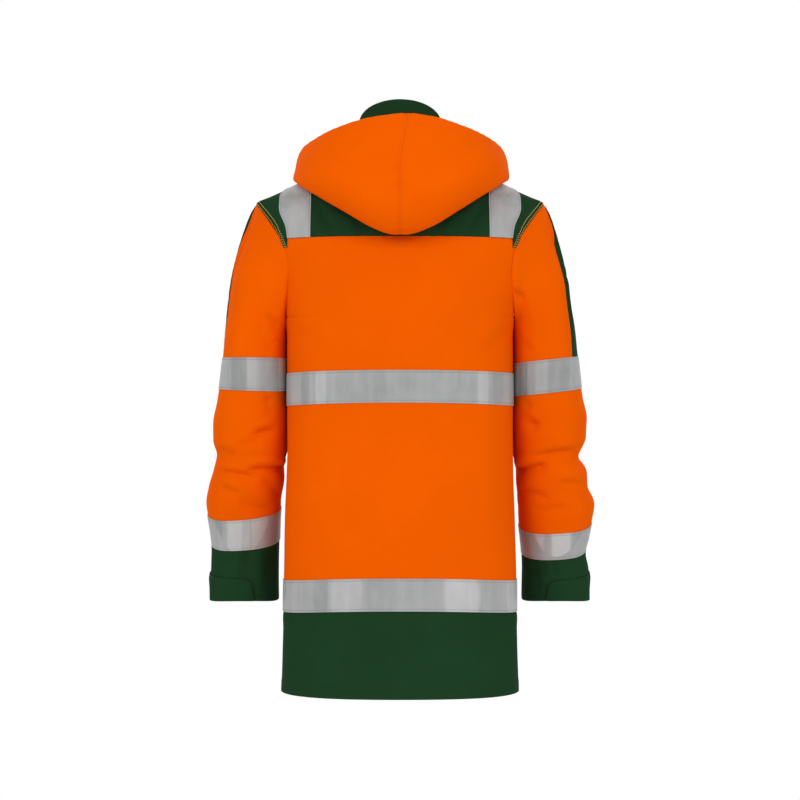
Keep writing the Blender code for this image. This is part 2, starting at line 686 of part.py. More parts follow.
def add_zip_slider():
    """The slider's plate, with the arch that carries the pull."""
    seat = collar_point(-math.pi / 2, SLIDER_RISE)
    face = seat[1] - 2 * SEAM_GAP - SLIDER_DEPTH
    slider = add_box("zip_slider", (SLIDER_WIDTH, SLIDER_DEPTH, SLIDER_HEIGHT),
                     (0.0, face + SLIDER_DEPTH / 2, seat[2]), "zip_metal")
    arch = add_box("slider_arch", (ARCH_WIDTH, ARCH_DEPTH * 1.2, ARCH_HEIGHT),
                   (0.0, face - ARCH_DEPTH * 0.4, seat[2]), "zip_metal")
    cut(slider, arch, "UNION")
    bpy.ops.mesh.primitive_cylinder_add(vertices=16, radius=EYE_RADIUS, depth=ARCH_WIDTH * 3,
                                        location=(0.0, face - BAR_OUT, seat[2]), rotation=(0.0, math.pi / 2, 0.0))
    eye = bpy.context.active_object
    eye.name = "slider_eye"
    for collection in list(eye.users_collection):
        collection.objects.unlink(eye)
    bpy.data.collections[COLLECTION].objects.link(eye)
    cut(slider, eye)
    return (0.0, face - BAR_OUT, seat[2])


def add_zip_pull(axis):
    """The pull tab: a plate with an eye whose top bar lies in the slider's arch, its origin on the bar."""
    bar = PULL_DEPTH / 2
    pull = add_box("zip_pull", (PULL_WIDTH, PULL_DEPTH, PULL_LENGTH), (0.0, 0.0, bar - PULL_LENGTH / 2), "zip_metal")
    bpy.ops.object.transform_apply(location=True, rotation=False, scale=False)
    pull.location = axis
    eye = add_box("pull_eye", (PULL_EYE_WIDTH, PULL_DEPTH * 3, PULL_EYE_LENGTH),
                  (0.0, axis[1], axis[2] - bar - PULL_EYE_LENGTH / 2), "zip_metal")
    cut(pull, eye)


def build():
    for item in list(bpy.data.objects):
        bpy.data.objects.remove(item)
    for name in (COLLECTION, "cutters"):
        bpy.context.scene.collection.children.link(bpy.data.collections.new(name))
    add_body_panels()
    add_body_tapes()
    add_yoke()
    add_shoulder_tapes()
    for side_name in SLEEVES:
        add_sleeve(side_name)
    add_collar()
    add_hood()
    add_zip_band()
    add_zip_pull(add_zip_slider())


build()
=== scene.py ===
"""The looks of the long hi-vis work parka, section by section in the order in which it is sewn."""

import math

import bmesh
import bpy
import numpy as np
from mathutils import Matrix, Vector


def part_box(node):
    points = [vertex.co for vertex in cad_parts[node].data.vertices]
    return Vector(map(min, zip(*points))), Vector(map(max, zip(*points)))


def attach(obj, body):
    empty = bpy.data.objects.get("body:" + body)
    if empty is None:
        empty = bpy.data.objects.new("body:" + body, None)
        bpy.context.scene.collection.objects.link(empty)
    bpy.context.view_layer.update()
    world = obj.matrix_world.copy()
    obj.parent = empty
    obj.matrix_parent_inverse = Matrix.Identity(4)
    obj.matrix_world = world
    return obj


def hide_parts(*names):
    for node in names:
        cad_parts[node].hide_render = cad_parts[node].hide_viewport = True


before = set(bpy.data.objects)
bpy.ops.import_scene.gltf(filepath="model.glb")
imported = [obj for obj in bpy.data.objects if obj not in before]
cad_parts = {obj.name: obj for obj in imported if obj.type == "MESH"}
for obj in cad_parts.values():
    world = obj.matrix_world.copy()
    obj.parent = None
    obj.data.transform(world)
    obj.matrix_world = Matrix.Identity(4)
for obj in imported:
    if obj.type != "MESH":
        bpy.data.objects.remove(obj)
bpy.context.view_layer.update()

bpy.ops.object.select_all(action="DESELECT")


# ---------------------------------------------------------------------------------------------------
# The studio: a pale floor under the hanging jacket, white walls, wide soft lights above and on both
# sides, and a camera three metres behind its back. The floor isn't part of the jacket.

FLOOR_LEVEL = -1.20
FLOOR_SIZE = 1.6
FLOOR_COLOUR = (0.93, 0.93, 0.93, 1.0)
FLOOR_ROUGHNESS = 0.9
WALL_LIGHT = 0.775
JACKET_MIDDLE = (0.0, 0.0, -0.4)
LIGHT_SIZE = 1.2
# Each light: across and behind the jacket, height above its neck, and power
LIGHTS = {
    "left_light": (1.6, 2.5, 0.9, 21.0),
    "right_light": (-1.6, 2.5, 0.9, 19.0),
    "front_left_light": (1.6, -2.5, 0.9, 21.0),
    "front_right_light": (-1.6, -2.5, 0.9, 19.0),
}
CAMERA_PLACE = (0.0, 3.0, -0.376)
CAMERA_LENS = 84.375
SENSOR_WIDTH = 36.0

bpy.ops.mesh.primitive_plane_add(size=FLOOR_SIZE, location=(0.0, 0.0, FLOOR_LEVEL))
floor = bpy.context.active_object
floor.name = "floor"
bpy.ops.object.transform_apply(location=True)
floor_paint = bpy.data.materials.new("floor_paint")
floor_paint.use_nodes = True
floor_shader = floor_paint.node_tree.nodes["Principled BSDF"]
floor_shader.inputs["Base Color"].default_value = FLOOR_COLOUR
floor_shader.inputs["Roughness"].default_value = FLOOR_ROUGHNESS
floor.data.materials.append(floor_paint)

world = bpy.data.worlds.new("white_studio")
world.use_nodes = True
background = world.node_tree.nodes["Background"]
background.inputs["Color"].default_value = (1.0, 1.0, 1.0, 1.0)
# Seen directly the walls are pure white; the light that they throw on the jacket is softer
seen = world.node_tree.nodes.new("ShaderNodeLightPath")
brightness = world.node_tree.nodes.new("ShaderNodeMapRange")
brightness.inputs["To Min"].default_value = WALL_LIGHT
brightness.inputs["To Max"].default_value = 1.0
world.node_tree.links.new(seen.outputs["Is Camera Ray"], brightness.inputs["Value"])
world.node_tree.links.new(brightness.outputs["Result"], background.inputs["Strength"])
bpy.context.scene.world = world
bpy.context.scene.view_settings.view_transform = "Standard"

for name, (*place, power) in LIGHTS.items():
    bpy.ops.object.light_add(type="AREA", location=place)
    light = bpy.context.active_object
    light.name = name
    light.data.shape = "SQUARE"
    light.data.size = LIGHT_SIZE
    light.data.energy = power
    towards = np.array(JACKET_MIDDLE) - np.array(place)
    flat = math.hypot(towards[0], towards[1])
    light.rotation_euler = (math.atan2(flat, -towards[2]), 0.0, math.atan2(-towards[0], towards[1]))

bpy.ops.object.camera_add(location=CAMERA_PLACE, rotation=(math.pi / 2, 0.0, math.pi))
camera = bpy.context.active_object
camera.name = "camera"
camera.data.lens = CAMERA_LENS
camera.data.sensor_width = SENSOR_WIDTH
bpy.context.scene.camera = camera


# ---------------------------------------------------------------------------------------------------
# Back and fronts: three panels of orange coated polyester, a fluorescent plain weave over a thin
# wadding. They are sewn to the yoke above, to the sleeves at the armholes and to the green hem below.

CLOTH = 0.002
SEAM_GAP = 0.0003
HALF_GAP = SEAM_GAP / 2
SEWN_ON = 0.0004
WELD = 2e-5
CREASE_ANGLE = math.radians(50)
# Steps along a surface for its directions: in metres, and round the body in radians
STEP = 1e-4
TURN_STEP = 0.01
# Spacing of the cloth's grid, and its closer lines along an edge and beside a row of stitches
GRID = 0.0038
NEAR_EDGE = np.array((0.0, 0.0008, 0.0018, 0.0032, 0.0052, 0.0080))
BESIDE_ROW = np.array((-1.2, 0.0, 1.2))
ROW_CLEARING = 0.7
# A sewn edge: it dips into the seam, puffs up beside it and puckers along it
SEAM_DIP = 0.0008
SEAM_ROLL = 0.0032
SEAM_PUFF = 0.0008
PUFF_PLACE = 0.012
PUFF_WIDTH = 0.009
PUCKER = 0.00035
PUCKER_REACH = 0.011
PUCKER_LENGTH = 0.016
PUCKER_DRIFT = 61
GROOVE = 0.00045
GROOVE_WIDTH = 0.0014

# Levels of the body, as heights above the base of the neck
HEM = -0.832
HEM_SEAM = -0.698
LOWER_TAPE = (HEM_SEAM + HALF_GAP, -0.648)
CHEST_TAPE = (-0.380, -0.330)
YOKE_SEAM = -0.125
ARMPIT = -0.245
SHOULDER_TIP = -0.060
NECK = 0.0135
NECK_WIDTH = 0.075
FRONT_NECK_DROP = 0.060
NECK_CURVE = 2.5
BACK_FULLNESS = 0.10
FULLNESS_FADE = 0.02

# Sections of the body: half width, depth behind and before the shoulder line, squareness of the section,
# and how far a level line sinks at the sides
BODY = {
    "level": (-0.832, -0.700, -0.650, -0.560, -0.450, -0.350, -0.280, -0.245, -0.200, -0.150, -0.125, -0.100,
              -0.060, -0.030, 0.0135, 0.0200),
    "width": (0.1870, 0.1838, 0.1830, 0.1815, 0.1782, 0.1780, 0.1785, 0.1815, 0.1920, 0.2090, 0.2165, 0.2230,
              0.2300, 0.1685, 0.0750, 0.0620),
    "back": (0.150, 0.147, 0.146, 0.143, 0.139, 0.141, 0.144, 0.145, 0.143, 0.139, 0.135, 0.127,
             0.107, 0.090, 0.068, 0.0647),
    "front": (0.150, 0.149, 0.148, 0.146, 0.143, 0.142, 0.140, 0.138, 0.134, 0.126, 0.121, 0.114,
              0.099, 0.083, 0.060, 0.0566),
    "power": (*(2.3,) * 12, 2.2, 2.1, 2.0, 2.0),
    "droop": (0.003, 0.012, 0.012, 0.010, 0.007, 0.005, 0.003, *(0.0,) * 9),
}

# Edge of the armhole on front and back: distance from the centre line at each level
ARMHOLE = {
    "level": (-0.245, -0.238, -0.225, -0.205, -0.180, -0.150, -0.125, -0.100, -0.080, -0.068, -0.060),
    "reach": (0.1815, 0.1805, 0.1775, 0.1750, 0.1740, 0.1765, 0.1865, 0.2030, 0.2165, 0.2245, 0.2300),
}

ZIP_WIDTH = 0.015
FRONT_EDGE = ZIP_WIDTH / 2 + SEAM_GAP


def column(table, name, at, key="level"):
    """One column of a table at any values of its key column, on a smooth curve that never overshoots."""
    keys = np.array(table[key])
    values = np.array(table[name])
    slopes = np.diff(values) / np.diff(keys)
    same_way = slopes[:-1] * slopes[1:] > 0
    total = np.where(same_way, slopes[:-1] + slopes[1:], 1.0)
    inner = np.where(same_way, 2 * slopes[:-1] * slopes[1:] / total, 0.0)
    tangents = np.concatenate((slopes[:1], inner, slopes[-1:]))
    at = np.clip(at, keys[0], keys[-1])
    i = np.clip(np.searchsorted(keys, at) - 1, 0, len(slopes) - 1)
    span = np.diff(keys)[i]
    t = (at - keys[i]) / span
    ends = (2 * t**3 - 3 * t**2 + 1) * values[i] + (3 * t**2 - 2 * t**3) * values[i + 1]
    return ends + span * ((t**3 - 2 * t**2 + t) * tangents[i] + (t**3 - t**2) * tangents[i + 1])


def signed_power(value, power):
    return np.copysign(np.abs(value) ** power, value)


def smooth_step(low, high, value):
    t = np.clip((value - low) / (high - low), 0.0, 1.0)
    return t * t * (3 - 2 * t)


def unit(vector):
    return vector / np.linalg.norm(vector, axis=-1, keepdims=True)


def square_to(along, out):
    """The direction nearest to out that is square to the direction along."""
    return unit(out - along * np.sum(out * along, axis=-1, keepdims=True))


def body_width(level):
    """Half width of the body: straight down the shoulder slope, and a smooth curve below it."""
    tip = BODY["width"][BODY["level"].index(SHOULDER_TIP)]
    slope = tip + (NECK_WIDTH - tip) * (level - SHOULDER_TIP) / (NECK - SHOULDER_TIP)
    return np.where(level > SHOULDER_TIP, slope, column(BODY, "width", level))


def fullness(angle, level):
    """Below the armpit the back is a little wider than the front."""
    return 1 + BACK_FULLNESS * np.sin(angle) * (1 - smooth_step(ARMPIT - FULLNESS_FADE, YOKE_SEAM, level))


def body_point(angle, level):
    """Points of the body's outer face: angle 0 at the wearer's left side, a quarter turn at centre back."""
    angle, level = np.broadcast_arrays(np.asarray(angle, float), np.asarray(level, float))
    sine = np.sin(angle)
    cosine = np.cos(angle)
    power = 2 / column(BODY, "power", level)
    depth = np.where(sine > 0, column(BODY, "back", level), column(BODY, "front", level))
    x = body_width(level) * fullness(angle, level) * signed_power(cosine, power)
    y = depth * signed_power(sine, power)
    sunk = FRONT_NECK_DROP * ((1 - sine) / 2) ** NECK_CURVE * smooth_step(YOKE_SEAM, NECK, level)
    sunk = sunk + column(BODY, "droop", level) * cosine**2
    return np.stack((x, y, level - sunk), axis=-1)


def body_angle(x, level, front=False):
    """The angle of the body points that lie x from the centre line, behind or in front."""
    power = column(BODY, "power", level) / 2
    angle = np.zeros(np.broadcast(x, level).shape)
    for _ in range(6):
        width = body_width(level) * fullness(angle, level)
        angle = np.arccos(np.clip(signed_power(x / width, power), -1.0, 1.0)) * (-1 if front else 1)
    return angle


def armhole_angle(level):
    """Angle from the side to the armhole's edge at a level; nothing below the armpit and above the tip."""
    level = np.asarray(level, float)
    on_armhole = (level > ARMPIT) & (level < SHOULDER_TIP)
    return np.where(on_armhole, body_angle(column(ARMHOLE, "reach", level), level), 0.0)


def outward(surface, u, v):
    """The outward direction of a surface whose u, v and outward directions are right-handed."""
    along = surface(u + TURN_STEP, v) - surface(u - TURN_STEP, v)
    up = surface(u, v + STEP) - surface(u, v - STEP)
    return unit(np.cross(along, up))


def stations(length, step=GRID, rows=()):
    """Places from 0 to 1 along a length of cloth, close together near its two edges and at rows of thread."""
    count = max(round((length - 2 * NEAR_EDGE[-1]) / step), 1)
    middle = np.linspace(NEAR_EDGE[-1], length - NEAR_EDGE[-1], count + 1)[1:-1]
    places = np.concatenate((NEAR_EDGE, middle, length - NEAR_EDGE[::-1]))
    for row in rows:
        places = places[np.abs(places - row) > ROW_CLEARING * step]
        places = np.concatenate((places, row + GROOVE_WIDTH * BESIDE_ROW))
    return np.sort(places) / length


def lengths(points, axis):
    """Distance over the cloth along the rows or the columns of a grid, from its first line."""
    steps = np.linalg.norm(np.diff(points, axis=axis), axis=-1)
    return np.insert(np.cumsum(steps, axis=axis), 0, 0.0, axis=axis)


# A crease: how wide its steep upper side and its gentle lower side are, how sharp it is, the roll that hangs
# over it, and how far along its line it has faded in and starts to fade out
STEEP_SIDE = 0.55
GENTLE_SIDE = 1.6
CREASE_POWER = 1.5
ROLL_PLACE = 1.9
ROLL_SHARE = 0.38
FADE_IN = (-0.15, 0.25)
FADE_OUT = (0.75, 1.15)


def folds(points, table):
    """Height of the creases and rolls of a table, each a bowed line seen from behind, in millimetres."""
    x = points[..., 0] * 1000
    z = points[..., 2] * 1000
    height = np.zeros(x.shape)
    for x0, z0, x1, z1, width, rise, bow in table:
        length = math.hypot(x1 - x0, z1 - z0)
        t = ((x - x0) * (x1 - x0) + (z - z0) * (z1 - z0)) / length**2
        above = ((z - z0) * (x1 - x0) - (x - x0) * (z1 - z0)) / math.copysign(length, x1 - x0)
        above = (above - bow * 4 * t * (1 - t)) / width
        ends = smooth_step(*FADE_IN, t) * (1 - smooth_step(*FADE_OUT, t))
        if rise < 0:
            crease = np.exp(-(np.abs(above / np.where(above > 0, STEEP_SIDE, GENTLE_SIDE)) ** CREASE_POWER))
            height += rise * ends * (crease - ROLL_SHARE * np.exp(-((above - ROLL_PLACE) ** 2)))
        else:
            height += rise * ends * np.exp(-(above**2))
    return height / 1000


RIPPLES = ((31.0, 9.0, 17.0), (-13.0, 22.0, 41.0), (57.0, -18.0, -29.0), (23.0, 47.0, 71.0))


def ripple(points, height, seed=0.0):
    """The slight unevenness of a wadded cloth: a few long waves that cross at odd angles."""
    total = np.zeros(points.shape[:-1])
    for k, wave in enumerate(RIPPLES):
        total += np.sin(points @ np.array(wave) + seed * (k + 1)) / (k + 2)
    return height * total


def facing_back(away, low, high):
    """How much a place belongs to the back: 0 where its outward direction is low, 1 where it is high."""
    return smooth_step(low, high, away[..., 1])


BODY_RIPPLE = 0.0005
BACK_FOLDS = (
    # from x, z, to x, z, half width, height, bow
    (136, -300, 141, -600, 15, 1.8, 2),
    (-133, -300, -138, -600, 15, 1.8, -2),
    (100, -262, 108, -330, 13, -0.8, 0),
    (-104, -268, -108, -325, 13, -0.8, 0),
    (174, -255, 120, -300, 11, -1.6, 4),
    (-174, -255, -122, -306, 11, -1.6, -4),
    (90, -410, 96, -560, 22, -0.9, 0),
    (-84, -420, -92, -575, 22, -0.9, 0),
    (20, -420, 30, -640, 34, 0.7, 0),
    (-30, -150, -26, -330, 40, 0.6, 0),
)
FRONT_FOLDS = (
    # the same on the fronts, with a soft drape from each shoulder towards the zip
    (128, -300, 134, -600, 15, 1.6, 2),
    (-130, -300, -134, -600, 15, 1.6, -2),
    (172, -250, 110, -292, 11, -1.8, 4),
    (-172, -252, -106, -300, 11, -1.8, -4),
    (70, -150, 40, -300, 22, -1.0, 6),
    (-66, -150, -42, -290, 22, -1.0, -6),
    (62, -420, 74, -610, 26, 1.0, 4),
    (-70, -430, -66, -600, 26, 1.0, -4),
    (30, -400, 34, -470, 12, -0.8, 0),
    (-28, -520, -34, -600, 12, -0.8, 0),
)


def body_relief(points, away):
    """Height of the folds of the body's cloth, on the back where it faces back and on the fronts before."""
    behind = facing_back(away, -0.15, 0.15)
    height = behind * folds(points, BACK_FOLDS) + (1 - behind) * folds(points, FRONT_FOLDS)
    return height + ripple(points, BODY_RIPPLE)


def panel(surface, u, v, sewn=(), relief=None, lift=0.0, shift=(0.0, 0.0, 0.0), turned=False, stitched=(),
          draw=1.0):
    """The outer face of a piece for a grid of places on a surface: drawn in and puckered along the edges that
    are sewn, and grooved along its rows of stitches, which are given as an edge and the distance from it.
    The draw is how strongly its sides are drawn in, one number or one for each place."""
    points = surface(u, v)
    away = outward(surface, u, v) * (-1 if turned else 1)
    across = lengths(points, 1)
    down = lengths(points, 0)
    edges = {"left": across, "right": across[:, -1:] - across, "first": down, "last": down[-1:] - down}
    height = np.full(points.shape[:2], lift)
    if relief:
        height = height + relief(points, away)
    for name in sewn:
        beside = down if name in ("left", "right") else across
        waves = np.sin(2 * math.pi * beside / PUCKER_LENGTH + 2 * np.sin(beside * PUCKER_DRIFT))
        drawn = -SEAM_DIP * np.exp(-((edges[name] / SEAM_ROLL) ** 2))
        drawn = drawn + SEAM_PUFF * np.exp(-(((edges[name] - PUFF_PLACE) / PUFF_WIDTH) ** 2))
        drawn = drawn + PUCKER * waves * np.exp(-((edges[name] / PUCKER_REACH) ** 2))
        height = height + drawn * (draw if name in ("left", "right") else 1.0)
    for name, distance in stitched:
        height = height - GROOVE * np.exp(-(((edges[name] - distance) / GROOVE_WIDTH) ** 2))
    chart = np.stack((across, down), axis=-1)
    return {"points": points + away * height[..., None] + np.array(shift), "away": away, "chart": chart}


def link_to_scene(name, mesh, finish):
    """A new object of the scene from a mesh and its material."""
    item = bpy.data.objects.new(name, mesh)
    bpy.context.scene.collection.objects.link(item)
    item.data.materials.append(finish)
    return item


def cloth(name, panels, finish, thickness=CLOTH):
    """A sheet of cloth from the outer faces of its panels, joined where they meet, its thickness inside."""
    vertices = []
    faces = []
    charts = []
    for part in panels:
        points = part["points"]
        rows, columns = points.shape[:2]
        index = sum(len(block) for block in vertices) + np.arange(rows * columns).reshape(rows, columns)
        across = points[:-1, 1:] - points[:-1, :-1]
        up = points[1:, :-1] - points[:-1, :-1]
        facing = np.sum(np.cross(across, up) * part["away"][:-1, :-1])
        quads = np.stack((index[:-1, :-1], index[:-1, 1:], index[1:, 1:], index[1:, :-1]), axis=-1)
        quads = quads.reshape(-1, 4)
        faces.append(quads if facing > 0 else quads[:, ::-1])
        vertices.append(points.reshape(-1, 3))
        charts.append(part["chart"].reshape(-1, 2))
    faces = np.concatenate(faces)
    mesh = bpy.data.meshes.new(name)
    mesh.from_pydata(np.concatenate(vertices).tolist(), [], faces.tolist())
    mesh.uv_layers.new(name="cloth")
    mesh.uv_layers["cloth"].data.foreach_set("uv", np.concatenate(charts)[faces.ravel()].ravel())
    work = bmesh.new()
    work.from_mesh(mesh)
    bmesh.ops.remove_doubles(work, verts=work.verts, dist=WELD)
    work.to_mesh(mesh)
    work.free()
    item = link_to_scene(name, mesh, finish)
    wall = item.modifiers.new("wall", "SOLIDIFY")
    wall.thickness = thickness
    wall.offset = -1
    bpy.context.view_layer.objects.active = item
    bpy.ops.object.modifier_apply(modifier="wall")
    mesh.shade_smooth()
    mesh.set_sharp_from_angle(angle=CREASE_ANGLE)
    return item


def put_on(item, slot, node=None, **sheet):
    """Rides a piece on the jacket and, where it stands for a part of the model, hides that part."""
    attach(item, "jacket")
    if node:
        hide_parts(node)


def mirror(part):
    """The same panel on the other side of the centre line."""
    flip = np.array((-1.0, 1.0, 1.0))
    return {"points": part["points"] * flip, "away": part["away"] * flip, "chart": part["chart"]}


class Value:
    """A socket of a material's nodes. Sums, differences and products of them add Math nodes."""

    def __init__(self, tree, socket=None):
        self.tree = tree
        self.socket = socket

    def node(self, kind, settings=None, inputs=None, output=0):
        """A new node of this material, from its settings and from the values or links of its sockets."""
        node = self.tree.nodes.new(kind)
        for name, setting in (settings or {}).items():
            setattr(node, name, setting)
        for name, value in (inputs or {}).items():
            if isinstance(value, Value):
                self.tree.links.new(value.socket, node.inputs[name])
            else:
                node.inputs[name].default_value = value
        return Value(self.tree, node.outputs[output])

    def out(self, name):
        """Another output of the node that this value comes from."""
        return Value(self.tree, self.socket.node.outputs[name])

    def math(self, operation, first, second=0.0):
        return self.node("ShaderNodeMath", {"operation": operation}, {0: first, 1: second})

    def __add__(self, other):
        return self.math("ADD", self, other)

    def __sub__(self, other):
        return self.math("SUBTRACT", self, other)

    def __rsub__(self, other):
        return self.math("SUBTRACT", other, self)

    def __mul__(self, other):
        return self.math("MULTIPLY", self, other)

    def apart(self):
        """The same place or chart as a node with an output for each of its directions."""
        return self.node("ShaderNodeSeparateXYZ", None, {0: self})

    def stretched(self, x, y, z):
        """This place in other units, so that a noise of scale 1 has so many cells to the metre."""
        return self.node("ShaderNodeMapping", None, {"Vector": self, "Scale": (x, y, z)})

    def noise(self, scale, detail=3.0, roughness=0.55):
        """Soft noise at this place, about 0.5 on average."""
        return self.node("ShaderNodeTexNoise", None,
                         {"Vector": self, "Scale": scale, "Detail": detail, "Roughness": roughness})

    def between(self, low, high, first=0.0, last=1.0, **settings):
        """This value turned into one that goes from first to last as it goes from low to high."""
        return self.node("ShaderNodeMapRange", settings, {0: self, 1: low, 2: high, 3: first, 4: last})


def new_finish(name, **constants):
    """A material with values that stay the same all over, and the place that its nodes start from."""
    finish = bpy.data.materials.new(name)
    finish.use_nodes = True
    shader = finish.node_tree.nodes["Principled BSDF"]
    for socket, value in constants.items():
        shader.inputs[socket.replace("_", " ")].default_value = value
    return finish, Value(finish.node_tree).node("ShaderNodeTexCoord", output="Object")


def finish_with(finish, tone, colours, roughness, height, bump):
    """Links a material's nodes to its shader: a tone from one colour to another, roughness and small relief.
    The bump is its strength and its distance in metres."""
    first, last = ((*colour, 1.0) for colour in colours)
    relief = {"Strength": bump[0], "Distance": bump[1], "Height": height}
    inputs = {
        "Base Color": tone.node("ShaderNodeMix", {"data_type": "RGBA"}, {0: tone, 6: first, 7: last}, 2),
        "Roughness": roughness,
        "Normal": tone.node("ShaderNodeBump", None, relief),
    }
    shader = finish.node_tree.nodes["Principled BSDF"]
    for name, value in inputs.items():
        finish.node_tree.links.new(value.socket, shader.inputs[name])
    return finish


THREAD_PITCH = 0.0011


def woven(name, colours, roughness, sheen):
    """Plain-woven coated polyester: crossing threads, a fine grain and a slow drift of its colour."""
    finish, place = new_finish(name, IOR=1.45, Specular_IOR_Level=sheen)
    threads = place.node("ShaderNodeUVMap", {"uv_map": "cloth"}).apart()
    turns = 2 * math.pi / THREAD_PITCH
    warp = place.math("SINE", threads.out("X") * turns)
    weft = place.math("SINE", threads.out("Y") * turns)
    drift = place.noise(7.0, 4.0)
    grain = place.noise(900.0, 2.0)
    shade = (drift + grain * 0.35).between(0.42, 0.95)
    dull = grain * 0.16 + (roughness - 0.08)
    return finish_with(finish, shade, colours, dull, warp * weft * 0.6 + grain, (0.22, 0.0002))


orange_cloth = woven("orange_cloth", ((0.85, 0.110, 0.0), (0.785, 0.0965, 0.0)), 0.86, 0.01)
green_cloth = woven("green_cloth", ((0.0130, 0.0475, 0.0185), (0.0102, 0.038, 0.0142)), 0.78, 0.02)


PANEL_LOW = LOWER_TAPE[0]
PANEL_HEIGHT = YOKE_SEAM - HALF_GAP - PANEL_LOW
BACK_LENGTH = 0.44
FRONT_LENGTH = 0.27
FRONT_ROW = 0.006
# Beside an armhole, from this far below the armpit, so much of the draw is left out: the sleeve holds it
ARMHOLE_EASE = 0.9
EASE_FADE = 0.02

levels = (PANEL_LOW + PANEL_HEIGHT * stations(PANEL_HEIGHT))[:, None]
side = armhole_angle(levels)
ease = ARMHOLE_EASE * smooth_step(ARMPIT - EASE_FADE, ARMPIT, levels)
across = stations(BACK_LENGTH)[None, :]
back_panel = panel(body_point, side + (math.pi - 2 * side) * across, levels, ("left", "right", "last"),
                   body_relief, shift=(0, HALF_GAP, 0), draw=1 - ease)
back = cloth("back_cloth", [back_panel], orange_cloth)
put_on(back, "orange_fabric", "back", flat=(0.50, 0.59), held="hung", rests_on=["yoke"], area=0.29)

start = body_angle(FRONT_EDGE, levels, front=True)
across = stations(FRONT_LENGTH, GRID, (FRONT_ROW,))[None, :]
front_turns = {"left": start + (-side - start) * across, "right": math.pi - start - (-side - start) * across}
front_panels = []
for name, turns in front_turns.items():
    front_panels.append(panel(body_point, turns, levels, ("left", "right", "last"), body_relief,
                              shift=(0, -HALF_GAP, 0), stitched=(("left", FRONT_ROW),),
                              draw=1 - ease * smooth_step(0.4, 0.6, across)))
    front = cloth(f"front_{name}_cloth", front_panels[-1:], orange_cloth)
    put_on(front, "orange_fabric", f"front_{name}", flat=(0.25, 0.59), held="hung", rests_on=["yoke"],
           area=0.136)


# ---------------------------------------------------------------------------------------------------
# Rows of thread on the fronts: orange polyester thread in lock stitches 3 mm long, sewn through the
# cloth beside the zip. Every other row of the jacket is laid with the same stitch.

STITCH = 0.0029
STITCH_PITCH = 0.0038
THREAD = 0.00075
THREAD_SIDES = 5
# One stitch: its straight middle, and how far each end reaches out, dips into the cloth and thins
STITCH_MIDDLE = 0.6
STITCH_END = 0.2
END_DIP = 0.45
END_SIZE = 0.5
# How far a stitch stands off the cloth, as a share of the thread
STAND_OFF = 0.2
LOOKS_THAT_WAY = 0.9


def item_in_edit_mode(item, facing):
    """Opens an object for editing with only the faces selected that look a given way."""
    bpy.context.view_layer.objects.active = item
    bpy.ops.object.mode_set(mode="EDIT")
    bpy.ops.mesh.select_mode(type="FACE")
    bpy.ops.mesh.select_all(action="DESELECT")
    work = bmesh.from_edit_mesh(item.data)
    for face in work.faces:
        face.select_set(sum(a * b for a, b in zip(face.normal, facing)) > LOOKS_THAT_WAY)
    bmesh.update_edit_mesh(item.data)


def taken_off(item):
    """The corners and faces of a shape that was modelled to be copied; its object is removed."""
    corners = np.array([tuple(vertex.co) for vertex in item.data.vertices])
    faces = [tuple(face.vertices) for face in item.data.polygons]
    bpy.data.objects.remove(item)
    return corners, faces


bpy.ops.object.select_all(action="DESELECT")
bpy.ops.mesh.primitive_cylinder_add(vertices=THREAD_SIDES, radius=THREAD / 2, depth=STITCH * STITCH_MIDDLE,
                                    rotation=(0.0, math.pi / 2, 0.0))
stitch = bpy.context.active_object
bpy.ops.object.transform_apply(rotation=True)
for end in (-1, 1):
    item_in_edit_mode(stitch, (end, 0, 0))
    reach = (end * STITCH * STITCH_END, 0.0, -THREAD * END_DIP)
    bpy.ops.mesh.extrude_region_move(TRANSFORM_OT_translate={"value": reach})
    bpy.ops.transform.resize(value=(1.0, END_SIZE, END_SIZE))
    bpy.ops.object.mode_set(mode="OBJECT")
STITCH_SHAPE = taken_off(stitch)


def seam_line(part, edge, distance):
    """Points and outward directions along a line on a panel's face, at a distance from one of its edges."""
    points = part["points"]
    away = part["away"]
    travelled = part["chart"][..., 0]
    if edge in ("first", "last"):
        points = points.swapaxes(0, 1)
        away = away.swapaxes(0, 1)
        travelled = part["chart"][..., 1].T
    if edge in ("right", "last"):
        points = points[:, ::-1]
        away = away[:, ::-1]
        travelled = (travelled[:, -1:] - travelled)[:, ::-1]
    rows = np.arange(len(points))
    distance = np.broadcast_to(np.ravel(distance), len(points))
    after = np.argmax(travelled >= distance[:, None], axis=1)
    gap = travelled[rows, after] - travelled[rows, after - 1]
    share = ((distance - travelled[rows, after - 1]) / gap)[:, None]
    return [block[rows, after - 1] * (1 - share) + block[rows, after] * share for block in (points, away)]


def at_distances(points, travelled, distances):
    """Points along a line at distances along it."""
    return np.stack([np.interp(distances, travelled, points[:, k]) for k in range(3)], axis=-1)


def places_along(points, away, pitch, size):
    """Even places along a line on the cloth: each one's middle, its way along the line and its way out."""
    travelled = lengths(points, 0)
    count = int(travelled[-1] / pitch)
    middles = (np.arange(count) + 0.5) * travelled[-1] / count
    along = unit(at_distances(points, travelled, middles + size / 2)
                 - at_distances(points, travelled, middles - size / 2))
    out = square_to(along, at_distances(away, travelled, middles))
    return at_distances(points, travelled, middles), along, out


